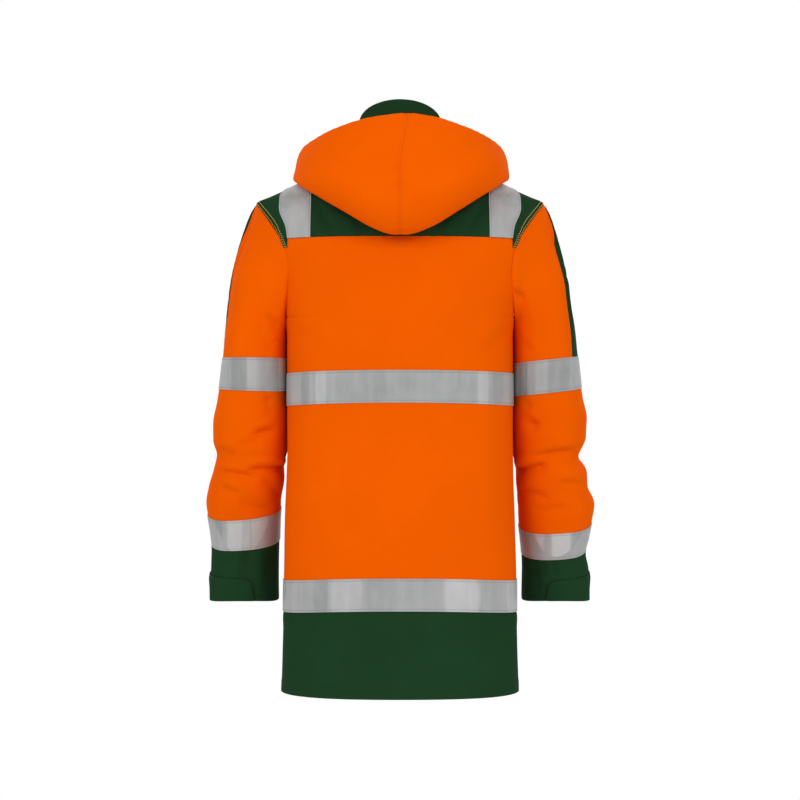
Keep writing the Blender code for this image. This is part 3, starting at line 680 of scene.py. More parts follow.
def copies(name, shape, places, finish):
    """One mesh of copies of a shape, whose x lies along each place's line and whose z points outwards."""
    corners, faces = shape
    middles, along, out = (np.concatenate(block) for block in zip(*places))
    vertices = np.repeat(middles[:, None], len(corners), axis=1)
    for k, direction in enumerate((along, np.cross(out, along), out)):
        vertices = vertices + corners[None, :, k, None] * direction[:, None]
    firsts = range(0, len(middles) * len(corners), len(corners))
    all_faces = [tuple(first + corner for corner in face) for first in firsts for face in faces]
    mesh = bpy.data.meshes.new(name)
    mesh.from_pydata(vertices.reshape(-1, 3).tolist(), [], all_faces)
    mesh.shade_smooth()
    return link_to_scene(name, mesh, finish)


def sew(name, rows, finish, slot, weight=1.0):
    """Rows of stitches on panels, each row as a panel, its edge and the distance from it."""
    corners, faces = STITCH_SHAPE
    shape = (corners * np.array((1.0, weight, weight)), faces)
    places = []
    for part, edge, distance in rows:
        points, away = seam_line(part, edge, distance)
        places.append(places_along(points + away * THREAD * STAND_OFF, away, STITCH_PITCH, STITCH))
    put_on(copies(name, shape, places, finish), slot)


def twisted_thread(name, colours):
    """Spun polyester thread: its twisted strands catch the light in turn, and it has a slight fuzz."""
    finish, place = new_finish(name, Specular_IOR_Level=0.12)
    strands = place.node("ShaderNodeTexWave", {"bands_direction": "DIAGONAL"},
                         {"Vector": place, "Scale": 420.0, "Distortion": 2.0}, 1)
    fuzz = place.noise(1500.0, 2.0)
    tone = strands * 0.7 + fuzz * 0.3
    return finish_with(finish, tone, colours, fuzz * 0.2 + 0.5, strands + fuzz, (0.3, 0.0001))


orange_thread = twisted_thread("orange_thread", ((0.78, 0.085, 0.0), (0.92, 0.15, 0.004)))
green_thread = twisted_thread("green_thread", ((0.010, 0.036, 0.014), (0.022, 0.068, 0.030)))
sew("front_stitching", [(part, "left", FRONT_ROW) for part in front_panels], orange_thread, "orange_fabric")


# ---------------------------------------------------------------------------------------------------
# Hem band: dark green cloth below the orange body, sewn on under the lower tape, with a turned-up hem
# that is stitched all round. It is open only at the zip.

HEM_TURN = 0.016
HEM_STEP = 0.0006
HEM_ROW = HEM_TURN - 0.001
BODY_GIRTH = 1.02
HEM_FOLDS = (
    (120, -700, 124, -832, 16, 1.4, 0),
    (-126, -700, -130, -832, 16, 1.4, 0),
    (60, -716, 64, -826, 14, -0.9, 3),
    (-70, -722, -72, -820, 14, -0.8, -3),
    (10, -730, 4, -830, 20, 0.7, 0),
)


def hem_relief(points, away):
    """Folds of the hem band, and the slight swelling of its turned-up edge."""
    share = 0.4 + 0.6 * facing_back(away, -0.15, 0.15)
    height = share * folds(points, HEM_FOLDS) + ripple(points, BODY_RIPPLE)
    return height + HEM_STEP * (1 - smooth_step(HEM + HEM_TURN - 0.002, HEM + HEM_TURN, points[..., 2]))


def round_body(low, high, relief, sewn=(), stitched=(), lift=0.0, rows=()):
    """A panel that runs round the body, from the left front edge past the back to the right one."""
    levels = (low + (high - low) * stations(high - low, GRID, rows))[:, None]
    start = body_angle(FRONT_EDGE, levels, front=True)
    along = stations(BODY_GIRTH, GRID, (FRONT_ROW, BODY_GIRTH - FRONT_ROW))[None, :]
    turns = start + (math.pi - 2 * start) * along
    return panel(body_point, turns, levels, sewn, relief, lift, stitched=stitched)


HEM_ROWS = (("first", HEM_ROW), ("left", FRONT_ROW), ("right", FRONT_ROW))
BODY_PANELS = ["back", "front_left", "front_right"]
hem_panel = round_body(HEM, HEM_SEAM - HALF_GAP, hem_relief, ("left", "right", "last"), HEM_ROWS,
                       rows=(HEM_ROW,))
hem_band = cloth("hem_band_cloth", [hem_panel], green_cloth)
put_on(hem_band, "green_fabric", "hem_band", flat=(1.06, 0.137), held="hung", rests_on=BODY_PANELS)
sew("hem_stitching", [(hem_panel, *row) for row in HEM_ROWS], green_thread, "green_fabric")


# ---------------------------------------------------------------------------------------------------
# Reflective tapes round the body: silver-grey fabric 50 mm wide with a coat of glass beads, stitched
# flat on the panels along both edges. On the back, soft bright and dull patches are painted into its colour:
# painted highlights and painted shade.

TAPE = 0.001
ON_TOP = SEAM_GAP + TAPE
BEAD_COLOURS = ((0.20, 0.207, 0.208), (0.50, 0.505, 0.50))
# Painted highlights and painted shade on the body's tapes, on the back only
BODY_TAPE_PAINTED_LIGHT = (
    # x, z, half width, half height, lightness: above 0 a painted highlight, below 0 painted shade
    (122, -355, 9, 60, 0.7), (146, -355, 8, 60, -0.6), (-128, -355, 9, 60, 0.6), (-152, -355, 9, 60, -0.3),
    (82, -672, 25, 60, 0.6), (-94, -676, 30, 60, 1.0), (30, -674, 26, 60, -0.3), (122, -672, 12, 60, -0.5),
    (-176, -672, 12, 60, 0.6), (170, -355, 12, 60, 0.2), (-174, -355, 12, 60, 0.2), (168, -672, 10, 60, 0.2),
    (60, -355, 40, 60, -0.25), (-40, -355, 50, 60, -0.15),
)


def beaded(name, painted_patches):
    """Glass-bead tape: a silver-grey coat with fine creases and a random tone, and on the back patches of
    painted highlight and painted shade, brighter and duller in its colour."""
    finish, place = new_finish(name, Specular_IOR_Level=0.35)
    apart = place.apart()
    behind = place.math("GREATER_THAN", apart.out("Y"), 0.0)
    uneven = place.stretched(60.0, 60.0, 9.0).noise(1.0, 4.0, 0.6)
    beads = place.noise(2600.0, 1.0)
    light = place.noise(26.0, 3.0) * 0.16 + uneven * 0.20 - 0.18
    # Each patch adds a painted highlight (lightness above 0) or painted shade (below 0) to the tape's colour,
    # on the back only
    for x, z, wide, high, painted_lightness in painted_patches:
        off_x = (apart.out("X") - x / 1000) * (1000 / wide)
        off_z = (apart.out("Z") - z / 1000) * (1000 / high)
        spread_out = off_x * off_x + off_z * off_z + (uneven - 0.5) * 1.3
        painted_patch = spread_out.between(0.55, 1.2, 1.0, 0.0, interpolation_type="SMOOTHSTEP")
        light = light + painted_patch * behind * (painted_lightness * 0.17)
    shade = light.between(-0.22, 0.22)
    dull = 0.46 - light * 0.4 + beads * 0.06
    creases = place.stretched(20.0, 20.0, 110.0).noise(1.0, 5.0, 0.65)
    return finish_with(finish, shade, BEAD_COLOURS, dull, creases + beads * 0.25, (0.35, 0.0008))


TAPE_ROW = 0.0032
TAPE_ROWS = (("first", TAPE_ROW), ("last", TAPE_ROW))
silver_body_tape = beaded("silver_body_tape", BODY_TAPE_PAINTED_LIGHT)
body_tape_panels = []
for name, span in (("chest_tape", CHEST_TAPE), ("lower_tape", LOWER_TAPE)):
    body_tape_panels.append(round_body(*span, body_relief, ("left", "right"), TAPE_ROWS, ON_TOP))
    tape = cloth(name + "_cloth", body_tape_panels[-1:], silver_body_tape, TAPE)
    put_on(tape, "reflective_tape", name, flat=(1.03, 0.05), held="laid", rests_on=BODY_PANELS)
grey_thread = twisted_thread("grey_thread", ((0.20, 0.205, 0.205), (0.36, 0.365, 0.36)))
tape_seams = [(part, *row) for part in body_tape_panels for row in TAPE_ROWS]
sew("body_tape_stitching", tape_seams, grey_thread, "reflective_tape")


# ---------------------------------------------------------------------------------------------------
# Yoke: one dark green saddle over both shoulders, sewn to the back, the fronts, the sleeves and the
# collar, with a pointed tail down each armhole. Two rows of tan thread run along each armhole.

# Shoulder tapes: inner and outer edge at the yoke seam and over the shoulder
SHOULDER_TAPE_INNER = (0.138, 0.138)
SHOULDER_TAPE_OUTER = (0.176, 0.188)
# Lines of the yoke from its bottom seam up to the neck or the shoulder: distance from the centre line
YOKE_LINES = {
    "seam": (0.0, 0.022, 0.042, 0.060, 0.076, 0.092, 0.107, 0.122, SHOULDER_TAPE_INNER[0], 0.158,
             SHOULDER_TAPE_OUTER[0]),
    "top": (0.0, 0.0194, 0.0375, 0.0530, 0.0650, 0.0724, NECK_WIDTH, 0.107, SHOULDER_TAPE_INNER[1], 0.164,
            SHOULDER_TAPE_OUTER[1]),
}
# Enough lines that one of them ends where the shoulder line meets the neck. In front, the first ones leave
# room for the zip and start a few millimetres apart.
YOKE_LINE_COUNT = 46
ZIP_LINES = 3
FIRST_LINES = 0.003
YOKE_LOW = YOKE_SEAM + HALF_GAP
YOKE_LENGTH = 0.17
YOKE_ROW = 0.0035
YOKE_RIPPLE = 0.0004
# From the shoulder tape to the armhole: the width there and its grid
YOKE_END_WIDTH = 0.05
YOKE_END_GRID = 0.004
# Two rows of thread beside the armhole, the second further from it towards the shoulder and the tail's point
ARMHOLE_ROWS = (0.0026, 0.0072)
ARMHOLE_SPREAD = 0.0034
ARMHOLE_THREAD = 1.7
TAIL_POINT_ROW = 0.0056
TAIL_INNER = 0.1745
TAIL_LENGTH = 0.0145
TAIL_LIFT = 0.0006
TAIL_LINES = 9
SECOND_ROW = ARMHOLE_ROWS[1] + ARMHOLE_SPREAD * smooth_step(0.0, 0.5, stations(YOKE_LENGTH)[:, None])
SECOND_TAIL_ROW = np.linspace(TAIL_POINT_ROW, ARMHOLE_ROWS[1], TAIL_LINES)[:, None]
ARMHOLE_SEAMS = (("right", ARMHOLE_ROWS[0]), ("right", SECOND_ROW))
TAIL_SEAMS = (("right", ARMHOLE_ROWS[0]), ("right", SECOND_TAIL_ROW))
YOKE_FOLDS = (
    (134, -62, 104, -122, 8, -3.4, 3), (-132, -58, -104, -120, 8, -3.2, 3),
    (96, -84, 70, -124, 10, 2.6, 4), (-98, -84, -74, -122, 10, 2.4, 4),
    (60, -104, 52, -124, 8, -1.8, 2), (-58, -102, -50, -124, 8, -1.8, -2),
    (204, -70, 188, -112, 7, -2.6, 0), (-206, -70, -190, -112, 7, -2.6, 0),
    (172, -50, 142, -62, 6, -1.4, 1), (-170, -54, -144, -70, 6, -1.0, 1),
)


def ridge_level(x):
    """The level at which the shoulder line is x from the centre line."""
    tip = float(body_width(SHOULDER_TIP))
    return min(SHOULDER_TIP + (tip - x) / (tip - NECK_WIDTH) * (NECK - SHOULDER_TIP), NECK)


def yoke_relief(points, away):
    """Folds of the yoke, deeper behind than before."""
    share = 0.3 + 0.7 * facing_back(away, -0.1, 0.25)
    return share * folds(points, YOKE_FOLDS) + ripple(points, YOKE_RIPPLE, 2.0)


def yoke_places(front, lines):
    """Angles and levels over half of the yoke, as lines that run up from its bottom seam."""
    rise = stations(YOKE_LENGTH)
    angles = []
    levels = []
    for seam, top in lines:
        level = YOKE_LOW + (ridge_level(top) - YOKE_LOW) * rise
        angle = body_angle(seam + (top - seam) * rise, level, front)
        if top >= NECK_WIDTH:
            angle[-1] = 0.0
        angles.append(angle)
        levels.append(level)
    return np.array(angles).T, np.array(levels).T


def yoke_lines(front):
    """Lines evenly between those of the yoke's table; in front, the first ones run along the zip."""
    keys = np.arange(len(YOKE_LINES["seam"]))
    at = np.linspace(0, keys[-1], YOKE_LINE_COUNT)
    least = FRONT_EDGE + FIRST_LINES * np.arange(YOKE_LINE_COUNT) if front else np.zeros(YOKE_LINE_COUNT)
    least[ZIP_LINES:] = 0.0
    return list(zip(*(np.maximum(np.interp(at, keys, YOKE_LINES[end]), least) for end in ("seam", "top"))))


def armhole_places(front):
    """Angles and levels from the outer line of the shoulder tape to the armhole."""
    tape_line = (YOKE_LINES["seam"][-1], YOKE_LINES["top"][-1])
    angle_in, level_in = yoke_places(front, [tape_line])
    level_out = YOKE_LOW + (SHOULDER_TIP - YOKE_LOW) * stations(YOKE_LENGTH)[:, None]
    angle_out = armhole_angle(level_out) * (-1 if front else 1)
    angle_out[-1] = 0.0
    share = stations(YOKE_END_WIDTH, YOKE_END_GRID)[None, :]
    return angle_in * (1 - share) + angle_out * share, level_in * (1 - share) + level_out * share


def tail_panel(front):
    """The end of the yoke's edge below its bottom seam, laid on the panel beside the armhole."""
    levels = np.linspace(YOKE_LOW - TAIL_LENGTH, YOKE_LOW, TAIL_LINES)[:, None]
    share = np.linspace(0.0, 1.0, TAIL_LINES)[None, :]
    reach = TAIL_INNER * (1 - share) + column(ARMHOLE, "reach", levels) * share
    levels = levels + 0 * reach
    angles = body_angle(reach, levels, front)
    return panel(body_point, angles, levels, (), body_relief, ON_TOP + TAIL_LIFT, stitched=TAIL_SEAMS)


yoke_panels = []
armhole_panels = []
tail_panels = []
for front in (False, True):
    sewn = ("first", "left") if front else ("first",)
    inner = panel(body_point, *yoke_places(front, yoke_lines(front)), sewn, yoke_relief,
                  stitched=(("first", YOKE_ROW),))
    outer = panel(body_point, *armhole_places(front), ("first", "right"), yoke_relief,
                  stitched=(("first", YOKE_ROW), *ARMHOLE_SEAMS))
    yoke_panels += [inner, outer, mirror(inner), mirror(outer)]
    armhole_panels += [outer, mirror(outer)]
    tail_panels += [tail_panel(front), mirror(tail_panel(front))]
yoke = cloth("yoke_cloth", yoke_panels, green_cloth)
put_on(yoke, "green_fabric", "yoke", flat=(0.50, 0.36), held="draped", rests_on=BODY_PANELS, area=0.13)
tails = cloth("yoke_tails_cloth", tail_panels, green_cloth, TAPE)
put_on(tails, "green_fabric", flat=(0.052, 0.0150), held="laid", rests_on=["back_cloth", "front_left_cloth"])
tan_thread = twisted_thread("tan_thread", ((0.50, 0.28, 0.08), (0.74, 0.45, 0.15)))
armhole_seams = [(part, *row) for part in armhole_panels for row in ARMHOLE_SEAMS]
armhole_seams += [(part, *row) for part in tail_panels for row in TAIL_SEAMS]
sew("armhole_stitching", armhole_seams, tan_thread, "green_fabric", ARMHOLE_THREAD)
sew("yoke_stitching", [(part, "first", YOKE_ROW) for part in yoke_panels], green_thread, "green_fabric")


# ---------------------------------------------------------------------------------------------------
# Shoulder tapes: two silver-grey tapes laid over the shoulders, from the yoke's back seam to its front
# seam, cut wider between the seam and the top of the shoulder and stitched down along both sides.

# The outer edge of the tape: distance from the centre line, from the seam at 0 up to the shoulder at 1
SHOULDER_TAPE_EDGE = {
    "rise": (0.0, 0.2, 0.5, 0.73, 0.9, 1.0),
    "reach": (0.1745, 0.1775, 0.1875, 0.1880, 0.1800, 0.1680),
}
# Painted highlights and painted shade on the shoulder tapes: x, z, half width, half height, lightness
SHOULDER_TAPE_PAINTED_LIGHT = (
    (160, -36, 24, 20, 0.2), (-160, -36, 24, 20, 0.2), (150, -96, 24, 34, 0.1), (-150, -96, 24, 34, 0.1),
    (172, -66, 18, 12, -0.3), (-174, -66, 18, 12, -0.3),
)
SHOULDER_TAPE_ROW = 0.0028
SHOULDER_TAPE_ROWS = (("left", SHOULDER_TAPE_ROW), ("right", SHOULDER_TAPE_ROW))
SHOULDER_TAPE_WIDTH = 0.045
SHOULDER_TAPE_GRID = 0.003


def shoulder_tape_panel(front):
    """Half of a shoulder tape, from a seam of the yoke up to the shoulder line."""
    rise = stations(YOKE_LENGTH)[:, None]
    share = stations(SHOULDER_TAPE_WIDTH, SHOULDER_TAPE_GRID)[None, :]
    inner = SHOULDER_TAPE_INNER[0]
    reach = inner + (column(SHOULDER_TAPE_EDGE, "reach", rise, "rise") - inner) * share
    ends = inner + (SHOULDER_TAPE_EDGE["reach"][-1] - inner) * share[0]
    levels = YOKE_LOW + (np.array([ridge_level(end) for end in ends])[None, :] - YOKE_LOW) * rise
    angles = body_angle(reach, levels, front)
    angles[-1] = 0.0
    return panel(body_point, angles, levels, (), yoke_relief, ON_TOP, stitched=SHOULDER_TAPE_ROWS)


silver_shoulder_tape = beaded("silver_shoulder_tape", SHOULDER_TAPE_PAINTED_LIGHT)
halves = [shoulder_tape_panel(front) for front in (False, True)]
shoulder_tape_panels = {"left": halves, "right": [mirror(part) for part in halves]}
for name, parts in shoulder_tape_panels.items():
    node = f"shoulder_tape_{name}"
    tape = cloth(node + "_cloth", parts, silver_shoulder_tape, TAPE)
    put_on(tape, "reflective_tape", node, flat=(0.052, 0.28), held="laid", rests_on=["yoke_cloth"])
    tape_seams = [(part, *row) for part in parts for row in SHOULDER_TAPE_ROWS]
    sew(node + "_stitching", tape_seams, grey_thread, "reflective_tape")


# ---------------------------------------------------------------------------------------------------
# Sleeves: orange cloth set into the armholes, with a dark green stripe let in along the outer front of
# the upper arm. They hang a little forward, bunched in soft rolls at the elbow and above the wrist.

# Rings of each sleeve below the armpit, as distances below the base of the neck: outer and inner reach from
# the body's centre line, centre and half depth fore and aft, lean of the ring forwards and outwards
SLEEVE_LEFT = {
    "down": (0.300, 0.340, 0.376, 0.415, 0.440, 0.462, 0.485, 0.510, 0.535, 0.560, 0.585, 0.612, 0.640, 0.692),
    "outer": (0.284, 0.289, 0.296, 0.303, 0.303, 0.298, 0.303, 0.312, 0.317, 0.313, 0.309, 0.307, 0.308, 0.309),
    "inner": (*(0.1815,) * 4, 0.182, 0.184, 0.186, 0.188, 0.191, 0.193, 0.195, 0.197, 0.198, 0.198),
    "centre": (-0.004, -0.008, -0.013, -0.018, -0.023, -0.028, -0.033, -0.038, -0.043, -0.048, -0.053, -0.058,
               -0.063, -0.072),
    "depth": (0.075, 0.074, 0.073, 0.072, 0.071, 0.069, 0.069, 0.068, 0.066, 0.062, 0.059, 0.057, 0.055, 0.053),
    "forward": (0.0, 0.02, 0.04, 0.06, 0.08, 0.10, 0.12, 0.14, 0.16, 0.18, 0.18, 0.18, 0.15, 0.10),
    "outward": (0.0, 0.03, 0.03, 0.02, 0.0, 0.0, -0.02, -0.04, -0.06, -0.08, -0.08, -0.06, -0.03, 0.0),
}
SLEEVE_RIGHT = {
    "down": (0.300, 0.340, 0.376, 0.410, 0.435, 0.466, 0.490, 0.515, 0.545, 0.570, 0.600, 0.626, 0.655, 0.692),
    "outer": (0.285, 0.289, 0.295, 0.303, 0.303, 0.291, 0.304, 0.306, 0.317, 0.314, 0.309, 0.303, 0.308, 0.308),
    "inner": (*(0.1815,) * 4, 0.182, 0.184, 0.187, 0.189, 0.191, 0.193, 0.196, 0.198, 0.199, 0.199),
    "centre": (-0.004, -0.008, -0.013, -0.018, -0.023, -0.029, -0.034, -0.039, -0.045, -0.050, -0.056, -0.061,
               -0.066, -0.073),
    "depth": (0.075, 0.074, 0.073, 0.072, 0.071, 0.068, 0.069, 0.068, 0.067, 0.063, 0.059, 0.057, 0.055, 0.053),
    "forward": (0.0, 0.02, 0.04, 0.06, 0.08, 0.10, 0.13, 0.16, 0.18, 0.20, 0.20, 0.18, 0.15, 0.10),
    "outward": (0.10, 0.12, 0.10, 0.06, 0.02, 0.0, 0.0, 0.02, 0.04, 0.06, 0.07, 0.05, 0.03, 0.0),
}
SLEEVE_POWER = 2.35
SLEEVE_START = 0.10
SLEEVE_HANG = 0.300
# The cap: how far it leaves the armhole at the shoulder tip and under the arm, and how it eases into the hang
CAP_REACH = (0.022, 0.015)
CAP_EASE = 0.46
CAP_LEAN = 0.05
# Under the arm the sleeve's edge is tucked into the body's cloth, so that the seam stays closed
ARMPIT_TUCK = 0.0018
FOLD_ANGLES = (math.radians(60), math.radians(170))
FOLD_MOST = math.radians(158)
# Each sleeve's tapes and the top of its cuff tab, as distances down from the neck: the upper tape's upper
# edge, the seam under it and its lower edge, then the lower tape's two edges. The stripe's hind seam swings
# backwards on its way down, by so many degrees.
SLEEVES = {
    "left": {"side": 1, "rings": SLEEVE_LEFT, "twist": math.radians(8),
             "upper_tape": (0.309, 0.334, 0.359), "lower_tape": (0.556, 0.606), "tab": 0.655,
             "swing": {"down": (0.10, 0.15, 0.20, 0.25, 0.337), "turn": (2, 2, 1, 2.5, 3.5)}},
    "right": {"side": -1, "rings": SLEEVE_RIGHT, "twist": math.radians(32),
              "upper_tape": (0.312, 0.337, 0.362), "lower_tape": (0.577, 0.621), "tab": 0.657,
              "swing": {"down": (0.10, 0.15, 0.20, 0.25, 0.337), "turn": (1.8, 1.8, 3.5, 11.5, 13)}},
}
STRIPE_LEVEL = -0.108
ARMHOLE_MIDDLE = (SHOULDER_TIP + ARMPIT) / 2
ARMHOLE_HALF = (SHOULDER_TIP - ARMPIT) / 2


def bezier(start, leave, arrive, end, t):
    """Points of curves from their ends and their two handles."""
    return (1 - t) ** 3 * start + 3 * (1 - t) ** 2 * t * leave + 3 * (1 - t) * t**2 * arrive + t**3 * end


def armhole_place(turn):
    """The body angle and level of the armhole's edge at an angle round it; the back is positive."""
    level = ARMHOLE_MIDDLE + ARMHOLE_HALF * np.cos(turn)
    return np.copysign(armhole_angle(level), np.sin(turn)), level


def armhole_turn(level):
    """The angle round the armhole, from the shoulder tip, at which its edge has this level."""
    return math.acos((level - ARMHOLE_MIDDLE) / ARMHOLE_HALF)


def armhole_edge(turn):
    """The armhole's edge, the cloth's outward direction there, and the direction across the edge."""
    point = body_point(*armhole_place(turn))
    along = unit(body_point(*armhole_place(turn + STEP)) - body_point(*armhole_place(turn - STEP)))
    out = square_to(along, outward(body_point, *armhole_place(turn)))
    return point, out, np.cross(along, out)


def ring_point(rings, angle, down):
    """Points of a ring of the sleeve below the armpit: angle 0 is its outer side."""
    outer = column(rings, "outer", down, "down")
    inner = column(rings, "inner", down, "down")
    x = (outer - inner) / 2 * signed_power(np.cos(angle), 2 / SLEEVE_POWER)
    y = column(rings, "depth", down, "down") * signed_power(np.sin(angle), 2 / SLEEVE_POWER)
    z = -down - column(rings, "forward", down, "down") * y + column(rings, "outward", down, "down") * x
    return np.stack(((outer + inner) / 2 + x, column(rings, "centre", down, "down") + y, z), axis=-1)


def sleeve_surface(rings, twist):
    """The outer face of a sleeve: sewn round the armhole, folded down at the armpit and hanging in rings."""

    def surface(turn, down):
        turn, down = np.broadcast_arrays(np.asarray(turn, float), np.asarray(down, float))
        point, out, across = armhole_edge(turn)
        wrapped = np.abs(np.remainder(turn + math.pi, 2 * math.pi) - math.pi)
        folded = smooth_step(*FOLD_ANGLES, wrapped)[..., None]
        fold = FOLD_MOST * folded
        hang = ring_point(rings, turn + twist, np.maximum(down, SLEEVE_HANG))
        under = (wrapped / math.pi)[..., None]
        sewn = SEWN_ON - ARMPIT_TUCK * folded
        start = point + sewn * (across * np.cos(fold / 2) + out * np.sin(fold / 2))
        reach = CAP_REACH[0] + (CAP_REACH[1] - CAP_REACH[0]) * under
        leave = start + reach * (across * np.cos(fold) + out * np.sin(fold))
        rise = (CAP_EASE * (start[..., 2] - hang[..., 2]))[..., None]
        lean = -CAP_LEAN * np.maximum(np.cos(turn), 0.0)
        arrive = hang + rise * np.stack((lean, np.zeros(lean.shape), np.ones(lean.shape)), axis=-1)
        t = np.maximum((down - SLEEVE_START) / (SLEEVE_HANG - SLEEVE_START), -STEP)[..., None]
        return np.where(t < 1, bezier(start, leave, arrive, hang, t), hang)

    return surface


SLEEVE_FOLDS = {
    "left": (
        (210, -242, 176, -284, 7, -4.6, 2), (203, -286, 174, -291, 5, -3.2, 0),
        (220, -258, 200, -300, 7, -1.8, 1), (210, -372, 172, -384, 6, -5.4, 0),
        (208, -390, 172, -414, 8, -3.4, 2), (231, -429, 172, -419, 6, -6.4, 1),
        (258, -447, 220, -441, 7, -2.4, 0), (294, -454, 262, -463, 7, -3.6, 0),
        (240, -487, 174, -485, 6, -7.0, 2), (292, -489, 228, -500, 5, -4.4, 3),
        (285, -514, 254, -523, 6, -3.2, 0), (214, -500, 188, -536, 10, -3.2, 0),
        (252, -540, 204, -548, 8, -2.2, -3), (268, -446, 184, -454, 13, 2.2, -3),
        (262, -516, 196, -530, 13, 2.2, 3), (246, -405, 184, -402, 12, 2.0, 0),
        (256, -160, 246, -250, 16, 1.2, 4), (228, -190, 214, -290, 12, -1.6, 3),
    ),
    "right": (
        (-176, -204, -194, -216, 5, -3.0, 0), (-174, -260, -190, -282, 5, -4.2, 0),
        (-178, -284, -206, -298, 7, -3.0, 0), (-174, -371, -206, -387, 7, -4.8, 0),
        (-174, -397, -210, -404, 7, -2.6, 0), (-174, -415, -218, -413, 7, -6.4, 1),
        (-202, -467, -278, -456, 6, -4.6, 2), (-180, -488, -230, -477, 7, -7.6, -2),
        (-256, -505, -294, -510, 6, -2.8, 0), (-190, -520, -238, -534, 7, -3.0, 2),
        (-214, -552, -266, -546, 7, -2.0, 0), (-186, -438, -262, -434, 12, 2.4, 3),
        (-214, -507, -278, -496, 12, 2.2, 2), (-236, -240, -196, -292, 12, 1.4, -2),
        (-250, -170, -244, -260, 16, 1.2, -4), (-222, -205, -216, -290, 12, -1.6, -3),
    ),
}
SLEEVE_FRONT_FOLDS = {
    "left": (
        (226, -254, 178, -292, 7, -4.4, 2), (236, -400, 178, -392, 7, -4.6, 1),
        (262, -432, 186, -440, 12, 2.4, 2), (264, -482, 180, -468, 6, -6.6, 2),
        (294, -454, 250, -462, 7, -3.4, 0), (240, -424, 190, -432, 7, -3.6, 0),
        (286, -500, 200, -508, 12, 2.4, 3), (258, -548, 194, -538, 7, -3.4, 1),
        (284, -516, 232, -524, 6, -3.0, 0), (240, -170, 232, -280, 16, 1.2, 4),
    ),
    "right": (
        (-222, -256, -178, -290, 7, -4.2, 2), (-246, -396, -180, -402, 7, -4.4, 1),
        (-186, -430, -262, -440, 12, 2.4, 2), (-262, -460, -184, -472, 6, -6.4, 2),
        (-292, -466, -252, -458, 7, -3.2, 0), (-240, -428, -190, -420, 7, -3.4, 0),
        (-200, -500, -286, -506, 12, 2.2, 3), (-264, -538, -194, -548, 7, -3.4, 1),
        (-290, -520, -236, -514, 6, -2.8, 0), (-240, -180, -232, -284, 16, 1.2, 4),
    ),
}


# How far the sleeve's inner side bulges towards the body that it hangs against, and between which levels
PRESSED = 0.0018
PRESSED_FROM = (-0.47, -0.42)
PRESSED_TO = (-0.275, -0.235)
# How far its outer side draws in as it hangs, and over which levels it does so
DRAWN_IN = 0.0026
HANGS_BELOW = (-0.24, -0.19)
FOLD_DEPTH = 1.15
SLEEVE_RIPPLE = 0.0011
SLEEVE_DRAW = 0.4


def sleeve_relief(name):
    """The relief of one sleeve: its folds behind and before, and its inner side pressed against the body."""

    def relief(points, away):
        level = points[..., 2]
        outwards = away[..., 0] * np.sign(points[..., 0])
        behind = facing_back(away, -0.25, 0.25)
        height = FOLD_DEPTH * behind * folds(points, SLEEVE_FOLDS[name])
        height = height + FOLD_DEPTH * (1 - behind) * folds(points, SLEEVE_FRONT_FOLDS[name])
        height = height + ripple(points, SLEEVE_RIPPLE, 3.0)
        touching = smooth_step(*PRESSED_FROM, level) * (1 - smooth_step(*PRESSED_TO, level))
        pressed = smooth_step(0.45, 0.9, -outwards) * touching
        drawn = smooth_step(0.5, 1.0, outwards) * (1 - smooth_step(*HANGS_BELOW, level))
        return height * (1 - pressed) + PRESSED * pressed - DRAWN_IN * drawn

    return relief


SLEEVE_GIRTH = 0.46
STRIPE_GIRTH = 0.09
STRIPE_TURN = 2 * math.pi - armhole_turn(STRIPE_LEVEL)
SLEEVE_GRID = 0.0028
# The sleeve's seam gap as a turn, at its radius beside the stripe, and its lap over the cuff
EDGE_GAP = HALF_GAP / 0.1
CUFF_LAP = 0.0008
RING = np.linspace(0.0, 2 * math.pi, 172)
# Painted highlights and painted shade on each sleeve's tapes; the bright patches at the inner end are painted
# light that lifts the tape where the body shades it
SLEEVE_TAPE_PAINTED_LIGHT = {
    "left": (
        (252, -332, 14, 150, -0.7), (232, -332, 8, 150, 0.4), (214, -332, 8, 150, -0.2),
        (198, -332, 9, 150, -0.4), (183, -332, 9, 150, 1.2), (264, -580, 13, 150, 1.0),
        (246, -580, 7, 150, 0.4), (224, -580, 14, 150, 0.6), (291, -580, 8, 150, -0.4),
    ),
    "right": (
        (-222, -336, 10, 150, 0.2), (-248, -336, 19, 150, -0.5), (-182, -336, 7, 150, 0.6),
        (-193, -336, 7, 150, -0.9), (-205, -336, 7, 150, -0.3), (-276, -336, 9, 150, 0.1),
        (-257, -598, 16, 150, 1.2), (-214, -598, 16, 150, 0.9), (-283, -598, 7, 150, -0.4),
        (-300, -598, 8, 150, -0.2),
    ),
}


def on_side(name):
    """The outer face of the left or the right sleeve at its place."""
    sleeve = SLEEVES[name]
    surface = sleeve_surface(sleeve["rings"], sleeve["twist"])
    flip = np.array((float(sleeve["side"]), 1.0, 1.0))
    return lambda turn, down: surface(turn, down) * flip


def sleeve_downs(low, high):
    """Distances down from the neck, from one seam or edge of a sleeve to the next."""
    return (low + (high - low) * stations(high - low, SLEEVE_GRID))[:, None]


def sleeve_panel(name, turns, downs, sewn=(), lift=0.0, stitched=()):
    """Part of a sleeve, at turns round it and distances down from the neck."""
    return panel(on_side(name), turns, downs + 0 * turns, sewn, sleeve_relief(name), lift,
                 turned=name == "left", stitched=stitched, draw=SLEEVE_DRAW)


